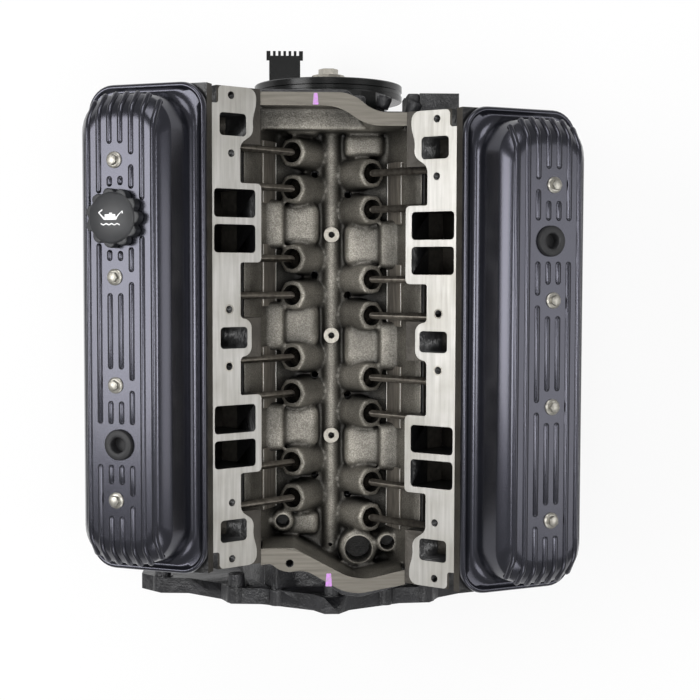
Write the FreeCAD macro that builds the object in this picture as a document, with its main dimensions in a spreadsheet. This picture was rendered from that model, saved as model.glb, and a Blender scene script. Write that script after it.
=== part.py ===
import FreeCAD, Part
import os
import re
import Sketcher

# A 90-degree pushrod V8 long block, in millimetres.
# +Z is up, -Y is the engine's front and +X is the driver's bank.
# The origin lies on the crankshaft's axis, on the rear face of its flywheel flange.

V = FreeCAD.Vector
doc = FreeCAD.newDocument("v8_engine")
sheet = doc.addObject("Spreadsheet::Sheet", "Sizes")

SIZES = {
    # cylinders, banks and crank train
    "bore": 101.6, "stroke": 88.4, "bore_pitch": 111.76, "bank_stagger": 22.36, "deck_height": 229.2,
    "rod_length": 144.8, "crown_height": 39.6, "bank_tilt": 45, "skirt_depth": 22, "bore_clearance": 0.4,
    "pin_radius": 26.6, "main_radius": 31.1, "pin_length": 45.2, "web_width": 19, "rod_width": 22,
    "wrist_radius": 11.8, "wrist_length": 72, "pivot_play": 1.7, "journal_play": 0.1, 
    "weight_radius": 80, "snout_radius": 17, "snout_length": 84, "rear_shaft_radius": 46,
    "flange_radius": 49, "flange_width": 14, "flange_bolt_circle": 76.2, "flange_bolt_radius": 5,
    # cylinder block
    "block_length": 543, "flange_reach": 11, "rear_to_mid": 305, "rail_half": 125, "rail_height": 14,
    "deck_inner": 92, "deck_outer": 80, "deck_length": 498, "jacket_outer": 72, "bulkhead": 24,
    "crankcase_radius": 93, "floor_height": 158, "valley_edge": 62, "valley_step": 12,
    "cam_height": 114.8, "cam_bay_radius": 29, "wall_top": 246, "wall_width": 14,
    "bell_width": 18, "bell_top": 203, "pump_pad_reach": 28, "dowel_radius": 8,
    # lifters and pushrods
    "lifter_tilt": 31.2, "lifter_top": 87.3, "lifter_radius": 10.7, "lifter_gap": 24.4, "boss_radius": 17,
    "pushrod_radius": 3.95, "pushrod_tilt": 47.2, "pushrod_length": 177.5, "pair_shift": 2, "valve_pitch": 39.5,
    # cylinder heads
    "head_length": 498, "gasket_width": 1, "stem_tilt": 22, "rail_level": 324.5, "rail_inner": 8,
    "rail_outer": 138, "face_tilt": 35, "face_level": 160, "face_low": 204.6, "face_notch": 26,
    "side_tilt": 10, "side_level": 202, "port_width": 29.5, "port_height": 50.8, "port_center": 237.3,
    "port_pair": 36.4, "port_depth": 60, "box_inner": 26, "box_outer": 128, "box_floor": 300,
    "stem_line": 93, "stem_radius": 4.3, "intake_valve": 21, "exhaust_valve": 18, "valve_face": 226,
    "stem_top": 356, "spring_radius": 15, "spring_height": 47, "stud_line": 66, "cup_line": 48.7,
    # valve covers
    "cover_length": 500.5, "cover_inner": 6.6, "cover_outer": 139.8, "cover_height": 55, "cover_wall": 2.5,
    "dome_inner": 24, "dome_outer": 127, "dome_length": 474, "dome_edge": 12, "cover_gasket": 2,
    "rib_pitch": 12, "rib_width": 6, "rib_height": 2.2, "rib_line": 75, "cover_bolt_line": 81.4,
    "bolt_pair": 115.3, "bolt_gap": 107.4, "cap_radius": 29, "cap_height": 13, "neck_radius": 19,
    "grommet_radius": 15.5, "grommet_hole": 7.6, "cap_line": 78,
    # timing gear, damper and front cover
    "chest_half": 79, "chest_top": 190, "cam_sprocket_radius": 54, "crank_sprocket_radius": 27,
    "sprocket_width": 10, "chain_height": 7, "chest_depth": 32, "cover_sheet": 2, "front_cover_radius": 72,
    "lower_cover_radius": 58, "cover_rim": 8, "damper_radius": 90, "damper_width": 20, "damper_front": 612.5,
    "hub_radius": 24, "hub_reach": 18, "ring_width": 19, "rubber_width": 3, "seal_radius": 33,
    "pointer_width": 40, "pointer_head": 47, "pointer_level": 96, "pointer_front": 671, "pointer_center": 54,
    # camshaft
    "cam_journal": 23.7, "cam_core": 14, "lobe_radius": 16.5, "lobe_lift": 6, "lobe_width": 13,
    # oil pan and pump
    "pan_depth": 195, "pan_shallow": 96, "sump_length": 290, "pan_half": 108, "sump_half": 120,
    "pan_sheet": 2, "pan_flange": 3, "pan_rear": 30,
    "pan_gasket": 1.5, "pan_bolt_line": 117,
    # main caps
    "cap_half": 60, "cap_depth": 62, "cap_bolt": 10.5, "cap_bolt_line": 43, "core_plug": 20,
    # fasteners and general clearances
    "bolt_head": 6.5, "bolt_shank": 4, "seat_gap": 0.2,
}
for row, (name, size) in enumerate(SIZES.items(), start=1):
    sheet.set(f"A{row}", name)
    sheet.set(f"B{row}", str(size))
    sheet.setAlias(f"B{row}", name)
doc.recompute()

X_AXIS, Y_AXIS, Z_AXIS = V(1, 0, 0), V(0, 1, 0), V(0, 0, 1)
REARWARD = (V(-1, 0, 0), "90")
UPRIGHT = (Z_AXIS, "0")
DECK = (Y_AXIS, "bank_tilt")
STEM = (Y_AXIS, "stem_tilt")
FACE = (-Y_AXIS, "face_tilt")
SIDE = (Y_AXIS, "side_tilt")
LIFTER = (Y_AXIS, "lifter_tilt")

MID = "(-flange_reach - rear_to_mid)"
BLOCK_REAR = "(-flange_reach)"
BLOCK_FRONT = "(-flange_reach - block_length)"
BANKS = {"driver": ("0", f"({MID} - bank_stagger/2)"), "passenger": ("180", f"({MID} + bank_stagger/2)")}
CYLINDERS = [f"({place} * bore_pitch)" for place in (-1.5, -0.5, 0.5, 1.5)]
MAINS = [f"({MID} + {place} * bore_pitch)" for place in (-2, -1, 0, 1, 2)]
PINS = [f"({MID} + {place} * bore_pitch)" for place in (-1.5, -0.5, 0.5, 1.5)]
THROWS = (0, 90, 270, 180)
BOLT_ROWS = [f"(-bolt_gap/2 - bolt_pair)", "(-bolt_gap/2)", "(bolt_gap/2)", "(bolt_gap/2 + bolt_pair)"]

VALVES = []
for end in (-1, 1):
    outer = f"{end} * (1.5*bore_pitch + pair_shift)"
    inner = f"{end} * (0.5*bore_pitch - pair_shift)"
    VALVES.append((f"({outer} + {end} * valve_pitch/2)", "exhaust"))
    VALVES.append((f"({outer} - {end} * valve_pitch/2)", "intake"))
    VALVES.append((f"({inner} + {end} * valve_pitch/2)", "intake"))
    VALVES.append((f"({inner} - {end} * valve_pitch/2)", "exhaust"))

TIMING_BOLTS = []
for side in (-1, 1):
    for angle in (20, 55, 90):
        TIMING_BOLTS.append((f"{side}*(front_cover_radius - cover_rim/2)*sin({angle})",
                             f"cam_height + (front_cover_radius - cover_rim/2)*cos({angle})"))
    TIMING_BOLTS.append((f"{side}*(lower_cover_radius - 0.3*cover_rim)", "14"))
PAN_BOLTS = [(side, f"({MID} + {place} * 84)") for place in (-2.5, -1.5, -0.5, 0.5, 1.5, 2.5) for side in (-1, 1)]

NODES = []


def tied(text):
    """The expression with each size's name written as a reference to the sheet."""
    return re.sub(r"[A-Za-z_]\w*", lambda word: f"Sizes.{word[0]}" if word[0] in SIZES else word[0], str(text))


def bind(thing, name, text):
    thing.setExpression(name, tied(text))


def number(text):
    return float(sheet.evalExpression(tied(text)))


def put(thing, at=("0", "0", "0"), turn=UPRIGHT):
    """Stands a thing at a place, turned about an axis."""
    axis, angle = turn
    thing.Placement = FreeCAD.Placement(V(0, 0, 0), FreeCAD.Rotation(axis, number(angle)))
    if number(angle):
        bind(thing, ".Placement.Rotation.Angle", angle)
    for letter, text in zip("xyz", at):
        bind(thing, f".Placement.Base.{letter}", text)
    return thing


def primitive(kind, name, at, turn, **sizes):
    thing = doc.addObject(f"Part::{kind}", name)
    for size, text in sizes.items():
        bind(thing, size, text)
    return put(thing, at, turn)


def box(name, x, y, z):
    """A block between two places on each axis."""
    sizes = {"Length": f"({x[1]}) - ({x[0]})", "Width": f"({y[1]}) - ({y[0]})", "Height": f"({z[1]}) - ({z[0]})"}
    return primitive("Box", name, (x[0], y[0], z[0]), UPRIGHT, **sizes)


def round_bar(name, radius, length, at, turn=UPRIGHT):
    return primitive("Cylinder", name, at, turn, Radius=radius, Height=length)


def faceted_bar(name, sides, radius, length, at, turn=UPRIGHT):
    return primitive("Prism", name, at, turn, Polygon=sides, Circumradius=radius, Height=length)


def taper(name, low, high, length, at, turn=UPRIGHT):
    return primitive("Cone", name, at, turn, Radius1=low, Radius2=high, Height=length)


def fuse(name, *things):
    thing = doc.addObject("Part::MultiFuse", name)
    thing.Shapes = list(things)
    return thing


def common(name, *things):
    thing = doc.addObject("Part::MultiCommon", name)
    thing.Shapes = list(things)
    return thing


def group(name, things, at=("0", "0", "0"), turn=UPRIGHT):
    """Separate solids held together, which can be turned as one."""
    thing = doc.addObject("Part::Compound", name)
    thing.Links = list(things)
    return put(thing, at, turn)


def cut(name, base, *tools):
    thing = doc.addObject("Part::Cut", name)
    thing.Base = base
    thing.Tool = tools[0] if len(tools) == 1 else group(f"{name}_tools", tools)
    return thing


def on_bank(name, thing, bank):
    """A copy of a bank's piece, moved to that bank's place."""
    turn, along = BANKS[bank]
    copy = group(f"{name}_{bank}", [thing], turn=(Z_AXIS, turn))
    bind(copy, ".Placement.Base.y", along)
    return copy


def on_both(name, thing):
    return [on_bank(name, thing, bank) for bank in BANKS]


def node(label, thing):
    thing.Label = label
    NODES.append(thing)
    return thing


def sketch_on(body, role, name):
    plane = [feature for feature in body.Origin.OriginFeatures if feature.Role == role][0]
    sketch = body.newObject("Sketcher::SketchObject", name)
    sketch.AttachmentSupport = [(plane, "")]
    sketch.MapMode = "FlatFace"
    return sketch


def hold(sketch, kind, *items):
    """Adds one constraint, and ties it to its expression when it has one."""
    *geometry, text = items
    index = sketch.addConstraint(Sketcher.Constraint(kind, *geometry, number(text)))
    sketch.renameConstraint(index, f"held_{index}")
    bind(sketch, f"Constraints.held_{index}", text)


def outline(sketch, points):
    """A closed outline of straight lines through points given as pairs of expressions."""
    corners = [V(number(across), number(up), 0) for across, up in points]
    for index, corner in enumerate(corners):
        sketch.addGeometry(Part.LineSegment(corner, corners[(index + 1) % len(corners)]), False)
    for index in range(len(points)):
        sketch.addConstraint(Sketcher.Constraint("Coincident", index, 2, (index + 1) % len(points), 1))
    for index, (across, up) in enumerate(points):
        hold(sketch, "DistanceX", -1, 1, index, 1, across)
        hold(sketch, "DistanceY", -1, 1, index, 1, up)


def slab(name, role, points, length):
    """A body whose one pad raises an outline from the XZ or XY plane."""
    body = doc.addObject("PartDesign::Body", name)
    sketch = sketch_on(body, role, f"{name}_outline")
    outline(sketch, points)
    pad = body.newObject("PartDesign::Pad", f"{name}_pad")
    pad.Profile = sketch
    bind(pad, "Length", length)
    body.Tip = pad
    return body


def wall(name, points, front, rear, turn=UPRIGHT):
    """An outline across the engine, carried from front to rear."""
    return put(slab(name, "XZ_Plane", points, f"({rear}) - ({front})"), ("0", rear, "0"), turn)


def plate(name, points, low, high):
    """An outline seen from above, carried from a low level to a high one."""
    return put(slab(name, "XY_Plane", points, f"({high}) - ({low})"), ("0", "0", low))


def mirrored(points):
    return points + [(f"-({across})", up) for across, up in reversed(points)]


def rounded_pad(body, name, x, y, radius, low, height):
    """A pad with four rounded upright corners, raised from a low level."""
    sketch = sketch_on(body, "XY_Plane", f"{name}_outline")
    bind(sketch, ".AttachmentOffset.Base.z", low)
    left, right, near, far, bend = (number(text) for text in (*x, *y, radius))
    centers = [V(right - bend, far - bend), V(left + bend, far - bend), V(left + bend, near + bend),
               V(right - bend, near + bend)]
    ends = []
    for index, center in enumerate(centers):
        start = FreeCAD.Base.Rotation(Z_AXIS, 90 * index).multVec(X_AXIS)
        finish = FreeCAD.Base.Rotation(Z_AXIS, 90 * index + 90).multVec(X_AXIS)
        middle = FreeCAD.Base.Rotation(Z_AXIS, 90 * index + 45).multVec(X_AXIS)
        ends.append((center + start * bend, center + finish * bend))
        sketch.addGeometry(Part.Arc(ends[-1][0], center + middle * bend, ends[-1][1]), False)
    for index in range(4):
        sketch.addGeometry(Part.LineSegment(ends[index][1], ends[(index + 1) % 4][0]), False)
    for index in range(4):
        sketch.addConstraint(Sketcher.Constraint("Tangent", index, 2, index + 4, 1))
        sketch.addConstraint(Sketcher.Constraint("Tangent", index + 4, 2, (index + 1) % 4, 1))
    for line, kind in ((4, "Horizontal"), (5, "Vertical"), (6, "Horizontal"), (7, "Vertical")):
        sketch.addConstraint(Sketcher.Constraint(kind, line))
    for arc in (1, 2, 3):
        sketch.addConstraint(Sketcher.Constraint("Equal", 0, arc))
    hold(sketch, "Radius", 0, radius)
    hold(sketch, "DistanceX", -1, 1, 5, 1, x[0])
    hold(sketch, "DistanceX", -1, 1, 7, 1, x[1])
    hold(sketch, "DistanceY", -1, 1, 6, 1, y[0])
    hold(sketch, "DistanceY", -1, 1, 4, 1, y[1])
    pad = body.newObject("PartDesign::Pad", f"{name}_pad")
    pad.Profile = sketch
    bind(pad, "Length", height)
    body.Tip = pad
    return pad


# ---- cylinder block ----

def build_block():
    case = wall("crankcase", mirrored([
        ("rail_half", "0"), ("rail_half", "rail_height"), ("rail_half - 14", "rail_height + 12"),
        ("rail_half - 24", "cam_height - 30"), ("valley_edge", "floor_height + valley_step"),
        ("valley_edge - 22", "floor_height")]), BLOCK_FRONT, f"{BLOCK_REAR} - bell_width")
    bell = wall("bell_flange", mirrored([
        ("200", "0"), ("222", "30"), ("222", "73"), ("197", "98"), ("165", "100"), ("125", "130"),
        ("113", "153"), ("78", "156"), ("20", "bell_top - 17"), ("8", "bell_top")]),
        f"{BLOCK_REAR} - bell_width", BLOCK_REAR)
    bank = wall("bank_casting", [
        ("-deck_inner", "deck_height"), ("-deck_inner", "deck_height - 12"), ("-76", "164"), ("-60", "60"),
        ("30", "45"), ("jacket_outer", "108"), ("jacket_outer", "deck_height - 22"),
        ("deck_outer", "deck_height - 14"), ("deck_outer", "deck_height")],
        "-deck_length/2", "deck_length/2", DECK)
    ends = build_valley_ends()
    bosses = []
    for place, (along, _) in enumerate(VALVES):
        bosses.append(faceted_bar(f"lifter_boss_{place}", "6", "boss_radius", "lifter_top - 45 - 2", ("45*sin(lifter_tilt)", along, "cam_height + 45*cos(lifter_tilt)"), LIFTER))
    boss_set = fuse("lifter_bosses", *bosses)
    rib = box("valley_rib", ("-8", "8"), (MAINS[0], MAINS[4]), ("floor_height - 20", "floor_height + 3"))
    towers = []
    for place in (1, 2, 3):
        towers.append(faceted_bar(f"retainer_boss_{place}", "8", "8.5", "26", ("0", MAINS[place], "floor_height - 20")))
    pads = []
    for side in (-1, 1):
        pads.append(box(f"pump_pad_{side}", (f"{side}*110.5 - 28.5", f"{side}*110.5 + 28.5"),
                        (f"{BLOCK_FRONT} - pump_pad_reach", f"{BLOCK_FRONT} + 20"), ("112", "182")))
        pads.append(box(f"mount_pad_{side}", (f"{side}*131 - 31", f"{side}*131 + 31"),
                        (f"{MID} - 60", f"{MID} + 30"), ("2", "62")))
    distributor = faceted_bar("distributor_boss", "12", "22", "60", ("-30", f"{BLOCK_REAR} - 68", "120"))
    body = fuse("block_body", case, bell, *on_both("bank", bank), ends, *on_both("lifters_cast", boss_set), rib,
                *towers, *pads, distributor)
    return cut("block", body, *block_cuts())


def build_valley_ends():
    front_out = "deck_length/2 - 1"
    driver, passenger = BANKS["driver"][1], BANKS["passenger"][1]
    front = plate("front_wall", [
        ("valley_edge + 14", f"{driver} - {front_out}"), ("valley_edge + 14", f"{driver} - {front_out} + wall_width"),
        ("-14", f"{driver} - {front_out} + wall_width"), ("-24", f"{driver} - {front_out} + wall_width + 4"),
        ("-34", f"{passenger} - {front_out} + wall_width - 4"), ("-42", f"{passenger} - {front_out} + wall_width"),
        ("-(valley_edge + 14)", f"{passenger} - {front_out} + wall_width"),
        ("-(valley_edge + 14)", f"{passenger} - {front_out}"), ("-38", f"{passenger} - {front_out}"),
        ("-14", f"{driver} - {front_out}")], "floor_height - 40", "wall_top")
    rear_out = "deck_length/2 + 3"
    rear = plate("rear_wall", [
        ("valley_edge + 14", f"{driver} + {rear_out}"), ("valley_edge + 14", f"{driver} + {rear_out} - 18"),
        ("41", f"{driver} + {rear_out} - 18"), ("-24", f"{passenger} + {rear_out} - 3"),
        ("-(valley_edge + 14)", f"{passenger} + {rear_out} - 15"),
        ("-(valley_edge + 14)", f"{passenger} + {rear_out}"), ("-30", f"{passenger} + {rear_out} + 13"),
        ("-10", f"{passenger} + {rear_out} + 11"), ("30", f"{driver} + {rear_out} + 4")],
        "floor_height - 40", "wall_top")
    ear = faceted_bar("rear_ear", "8", "11", "30", ("46", f"{driver} + {rear_out} - 2", "wall_top - 30"))
    step = box("front_step", ("-(valley_edge + 14)", "valley_edge + 14"), (BLOCK_FRONT, f"{BLOCK_FRONT} + 14"),
               ("floor_height - 20", "chest_top + 4"))
    shelf = box("front_shelf", ("-36", "valley_edge + 14"), (f"{driver} - {front_out}", f"{BLOCK_FRONT} + 14"),
                ("chest_top", "chest_top + 8"))
    return fuse("valley_ends", front, rear, ear, step, shelf)


def block_cuts():
    bores, lifters, drains = [], [], []
    for place, along in enumerate(CYLINDERS):
        bores.append(faceted_bar(f"bore_{place}", "18", "bore/2/cos(10)", "deck_height - 60", ("65*sin(bank_tilt)", along, "65*cos(bank_tilt)"), DECK))
        drains.append(faceted_bar(f"drain_{place}", "6", "4.4", "60", ("18.5", along, "cam_height + 10")))
    for place, (along, _) in enumerate(VALVES):
        lifters.append(faceted_bar(f"lifter_bore_{place}", "6", "lifter_radius + 0.15", "lifter_top", ("12*sin(lifter_tilt)", along, "cam_height + 12*cos(lifter_tilt)"), LIFTER))
    bank_cuts = [*on_both("bores", group("bores", bores)), *on_both("drains", group("drains", drains)),
                 *on_both("lifter_bores", group("lifter_bores", lifters))]
    bays = []
    for place, along in enumerate(PINS):
        front = f"({along} - bore_pitch/2 + bulkhead/2)"
        width = "bore_pitch - bulkhead"
        bays.append(faceted_bar(f"crank_bay_{place}", "16", "crankcase_radius", width, ("0", front, "0"), REARWARD))
        bays.append(faceted_bar(f"cam_bay_{place}", "12", "cam_bay_radius", width, ("0", front, "cam_height"), REARWARD))
    crank_hole = faceted_bar("crank_hole", "16", "(main_radius + journal_play)/cos(11.25)", "block_length + 20",
                           ("0", f"{BLOCK_FRONT} - 10", "0"), REARWARD)
    shaft_hole = faceted_bar("shaft_hole", "16", "rear_shaft_radius + 4", "60", ("0", f"{BLOCK_REAR} - 54", "0"), REARWARD)
    seal_hole = faceted_bar("seal_hole", "24", "flange_radius + 18", "10.3", ("0", f"{BLOCK_REAR} - 10", "0"), REARWARD)
    cam_hole = faceted_bar("cam_hole", "16", "(cam_journal + journal_play)/cos(11.25)", "block_length - 30", ("0", f"{BLOCK_FRONT} - 10", "cam_height"), REARWARD)
    chest = box("timing_chest", ("-chest_half", "chest_half"), (f"{BLOCK_FRONT} - 40", BLOCK_FRONT), ("-20", "chest_top"))
    holes = [round_bar("distributor_hole", "15", "60", ("-30", f"{BLOCK_REAR} - 68", "145")),
             faceted_bar("pressure_hole", "8", "8", "60", ("-62", f"{BLOCK_REAR} - 76", "170")),
             faceted_bar("valley_port", "8", "7.5", "30", ("54", f"{BLOCK_REAR} - 100", "160")),
             faceted_bar("ear_hole", "6", "4.2", "24", ("46", f"{BANKS['driver'][1]} + deck_length/2 + 1", "wall_top - 22"))]
    for place in (1, 2, 3):
        holes.append(faceted_bar(f"retainer_hole_{place}", "6", "3.2", "14", ("0", MAINS[place], "floor_height - 6")))
    for side in (-1, 1):
        for height in (124, 170):
            holes.append(round_bar(f"pump_hole_{side}_{height}", "4.2", "24",
                                   (f"{side}*124", f"{BLOCK_FRONT} - pump_pad_reach - 1", str(height)), REARWARD))
        holes.append(faceted_bar(f"water_hole_{side}", "12", "13", "40", (f"{side}*100", f"{BLOCK_FRONT} - pump_pad_reach - 1", "148"), REARWARD))
        for along, up in ((-46, 50), (16, 50), (-15, 14)):
            holes.append(round_bar(f"mount_hole_{side}_{along}", "4.5", "21", (f"{side}*142", f"{MID} + {along}", str(up)),
                                   (Y_AXIS, str(side * 90))))
        for across, up in ((96, 140), (197, 78), (205, 18)):
            holes.append(round_bar(f"bell_hole_{side}_{up}", "4.8", "bell_width + 2",
                                   (f"{side}*{across}", f"{BLOCK_REAR} - bell_width - 1", str(up)), REARWARD))
    plugs = [faceted_bar(f"plug_recess_{place}", "12", "core_plug + 0.1", "6", ("jacket_outer - 5", f"{place}*bore_pitch", "150"),
                       (Y_AXIS, "90")) for place in (-1, 0, 1)]
    bank_cuts += on_both("plug_recesses", group("plug_recesses", plugs, turn=DECK))
    return [*bank_cuts, *bays, crank_hole, shaft_hole, seal_hole, cam_hole, chest, *holes]


node("cylinder_block", build_block())


# ---- cylinder heads and valve gear, in the driver's bank's frame ----

def in_frame(name, frame, *things):
    return group(name, things, turn=frame)


def pushrod_axis(name, sides, radius, start, length):
    """A bar on a pushrod's axis, one for each valve, starting at a distance above the lifter's top."""
    across, up = "(lifter_top*sin(lifter_tilt))", "(cam_height + lifter_top*cos(lifter_tilt))"
    bars = []
    for place, (along, _) in enumerate(VALVES):
        at = (f"{across} + ({start})*sin(pushrod_tilt)", along, f"{up} + ({start})*cos(pushrod_tilt)")
        bars.append(faceted_bar(f"{name}_{place}", sides, radius, length, at, (Y_AXIS, "pushrod_tilt")))
    return bars


HEAD_BOLT_ROWS = ("38", "114")


def build_head():
    wide = ("-head_length/2", "head_length/2")
    body = common(
        "head_body",
        in_frame("above_deck", DECK, box("deck_side", ("-300", "300"), wide, ("deck_height + gasket_width", "500"))),
        in_frame("below_rail", STEM, box("rail_side", ("-100", "rail_outer"), wide, ("0", "rail_level"))),
        in_frame("behind_face", FACE, box("face_side", ("0", "500"), wide, ("-300", "face_level"))),
        in_frame("inside_flange", SIDE, box("flange_side", ("-200", "side_level"), wide, ("-200", "500"))))
    lip = in_frame("rail_lip", STEM, box("lip", ("rail_inner", "box_inner + 10"), wide, ("rail_level - 12", "rail_level")))
    room = in_frame("rocker_room", STEM, box("rocker_box", ("box_inner", "box_outer"), ("-head_length/2 + 11", "head_length/2 - 11"), ("box_floor", "rail_level + 5")))
    pillars = [faceted_bar(f"pillar_{row}", "6", "6.5", "rail_level + 20 - box_floor", ("cover_bolt_line", along, "box_floor"))
               for row, along in enumerate(BOLT_ROWS)]
    pillars += [faceted_bar(f"head_bolt_{place}_{row}", "6", "9", "10", (row, f"{place}*bore_pitch", "box_floor - 2"))
                for place in (-2, -1, 0, 1, 2) for row in HEAD_BOLT_ROWS]
    shell = cut("head_shell", fuse("head_casting", body, lip), room)
    whole = fuse("head_whole", shell, in_frame("pillars", STEM, *pillars))
    return cut("head", whole, in_frame("face_cuts", FACE, *face_cuts()), in_frame("stem_cuts", STEM, *stem_cuts()),
               in_frame("side_cuts", SIDE, *side_cuts()),
               *pushrod_axis("pushrod_hole", "6", "pushrod_radius + 0.7", "40", "pushrod_length - 60"))


def face_cuts():
    top = "face_level + 1"
    cuts = []

    def opening(name, along, width, middle, height, depth):
        cuts.append(box(name, (f"{middle} - {height}/2", f"{middle} + {height}/2"), (f"{along} - {width}/2", f"{along} + {width}/2"), (f"face_level - {depth}", top)))

    for end in (-1, 1):
        for half in (-1, 1):
            opening(f"intake_port_{end}_{half}", f"({end}*bore_pitch + {half}*port_pair/2)", "port_width", "port_center", "port_height", "port_depth")
            cuts.append(faceted_bar(f"end_bolt_{end}_{half}", "6", "4", "30", ("241.6", f"{end}*210.3 + {half}*29.5", "face_level - 29")))
        opening(f"coolant_port_{end}", f"({end}*210.3)", "23.5", "239.5", "32.6", "40")
        cuts.append(faceted_bar(f"middle_bolt_{end}", "6", "4", "30", ("244.5", f"9 + {end}*29.5", "face_level - 29")))
        cuts.append(box(f"lug_notch_{end}", ("259", "272"), (f"{end}*240.5 - 9.5", f"{end}*240.5 + 9.5"), ("face_level - 18", top)))
        cuts.append(box(f"end_window_{end}", ("face_low - 10", "face_low + face_notch"), (f"{end}*171.5 - 20", f"{end}*171.5 + 20"), ("face_level - 36", top)))
    opening("crossover_port", "9", "22.6", "238.6", "33.3", "50")
    cuts.append(box("face_relief", ("264.5", "268.6"), ("-head_length/2 - 1", "head_length/2 + 1"), ("face_level - 1", top)))
    cuts.append(box("front_window", ("face_low - 10", "face_low + face_notch"), ("-69", "-11.5"), ("face_level - 36", top)))
    cuts.append(box("rear_window", ("face_low - 10", "face_low + face_notch"), ("29.5", "69"), ("face_level - 36", top)))
    return cuts


def stem_cuts():
    cuts = []
    for place, (along, kind) in enumerate(VALVES):
        cuts.append(faceted_bar(f"stem_hole_{place}", "6", "stem_radius + 0.5", "box_floor + 1 - valve_face", ("stem_line", along, "valve_face")))
    for row, along in enumerate(BOLT_ROWS):
        cuts.append(faceted_bar(f"pillar_hole_{row}", "6", "3.4", "30", ("cover_bolt_line", along, "rail_level - 8")))
    for place, end in enumerate((-1.5, -0.5, 0.5, 1.5)):
        cuts.append(box(f"chamber_{place}", ("stem_line - 23", "stem_line + 22"), (f"{end}*bore_pitch - 42", f"{end}*bore_pitch + 42"), ("valve_face - 25", "valve_face + 5.3")))
    return cuts


def side_cuts():
    cuts = []
    for place, (along, kind) in enumerate(VALVES):
        if kind == "exhaust":
            cuts.append(box(f"exhaust_port_{place}", ("side_level - 45", "side_level + 1"), (f"{along} - 15", f"{along} + 15"), ("206", "238")))
    for place, along in enumerate(CYLINDERS):
        cuts.append(faceted_bar(f"plug_hole_{place}", "8", "6.8", "60", ("side_level - 58", along, "190"), (Y_AXIS, "90")))
    return cuts


def build_gasket():
    sheet_body = box("gasket_sheet", ("-deck_inner", "deck_outer + 3"), ("-deck_length/2", "deck_length/2"),
                     ("deck_height + 0.05", "deck_height + gasket_width - 0.05"))
    holes = [faceted_bar(f"gasket_bore_{place}", "20", "bore/2 + 1.2", "20", ("0", along, "deck_height - 5"))
             for place, along in enumerate(CYLINDERS)]
    return in_frame("head_gasket_placed", DECK, cut("head_gasket", sheet_body, *holes))


head = build_head()
for bank in BANKS:
    node(f"cylinder_head_{bank}", on_bank("head_placed", head, bank))
node("head_gaskets", group("all_head_gaskets", on_both("gasket_placed", build_gasket())))


def build_gear():
    """The valve gear of one bank, as lists of solids in the frame of the valve stems."""
    parts = {"valves": [], "valve_springs": [], "rocker_studs": [], "rocker_arms": []}
    for place, (along, kind) in enumerate(VALVES):
        disc = faceted_bar(f"valve_disc_{place}", "10", f"{kind}_valve", "5", ("stem_line", along, "valve_face"))
        stem = faceted_bar(f"valve_stem_{place}", "6", "stem_radius", "stem_top - valve_face", ("stem_line", along, "valve_face"))
        parts["valves"].append(fuse(f"valve_{place}", disc, stem))
        coil = faceted_bar(f"spring_outside_{place}", "8", "spring_radius", "spring_height - seat_gap", ("stem_line", along, "box_floor + seat_gap/2"))
        core = faceted_bar(f"spring_inside_{place}", "6", "stem_radius + 0.4", "spring_height + 2", ("stem_line", along, "box_floor - 1"))
        parts["valve_springs"].append(cut(f"spring_{place}", coil, core))
        post = faceted_bar(f"stud_post_{place}", "6", "3.8", "73", ("stud_line", along, "box_floor + seat_gap/2"))
        nut = faceted_bar(f"stud_nut_{place}", "6", "7", "8", ("stud_line", along, "stem_top + 9.2"))
        parts["rocker_studs"].append(fuse(f"stud_{place}", post, nut))
        arm = box(f"arm_{place}", ("cup_line - 7", "stem_line + 7"), (f"{along} - 7", f"{along} + 7"), ("stem_top + 0.2", "stem_top + 9"))
        slot = faceted_bar(f"arm_hole_{place}", "6", "4.6", "20", ("stud_line", along, "stem_top - 5"))
        parts["rocker_arms"].append(cut(f"rocker_{place}", arm, slot))
    return parts


for label, solids in build_gear().items():
    placed = in_frame(f"{label}_placed", STEM, *solids)
    node(label, group(f"all_{label}", on_both(label, placed)))

pushrods = group("bank_pushrods", pushrod_axis("pushrod", "6", "pushrod_radius", "-6", "pushrod_length + 6"))
node("pushrods", group("all_pushrods", on_both("pushrods_placed", pushrods)))


def build_lifters():
    lifters = []
    for place, (along, _) in enumerate(VALVES):
        at = ("lifter_gap*sin(lifter_tilt)", along, "cam_height + lifter_gap*cos(lifter_tilt)")
        body = faceted_bar(f"lifter_body_{place}", "6", "lifter_radius", "lifter_top - lifter_gap + 3", at, LIFTER)
        lifters.append(body)
    seats = pushrod_axis("lifter_seat", "6", "pushrod_radius + 0.8", "-6.5", "30")
    return cut("bank_lifters", group("lifter_bodies", lifters), *seats)


node("lifters", group("all_lifters", on_both("lifters_placed", build_lifters())))


# ---- valve covers ----

def build_dome(name, grow):
    """The cover's raised part, larger or smaller all round by one amount."""
    body = doc.addObject("PartDesign::Body", name)
    low = "rail_level + cover_gasket"
    pad = rounded_pad(body, name, (f"dome_inner - ({grow})", f"dome_outer + ({grow})"), (f"-dome_length/2 - ({grow})", f"dome_length/2 + ({grow})"), f"34 + ({grow})", low, f"cover_height + ({grow})")
    doc.recompute()
    top = pad.Shape.BoundBox.ZMax
    edges = [f"Edge{index}" for index, edge in enumerate(pad.Shape.Edges, start=1) if edge.BoundBox.ZMin > top - 0.01]
    bevel = body.newObject("PartDesign::Chamfer", f"{name}_bevel")
    bevel.Base = (pad, edges)
    bind(bevel, "Size", "dome_edge")
    body.Tip = bevel
    return body


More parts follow.
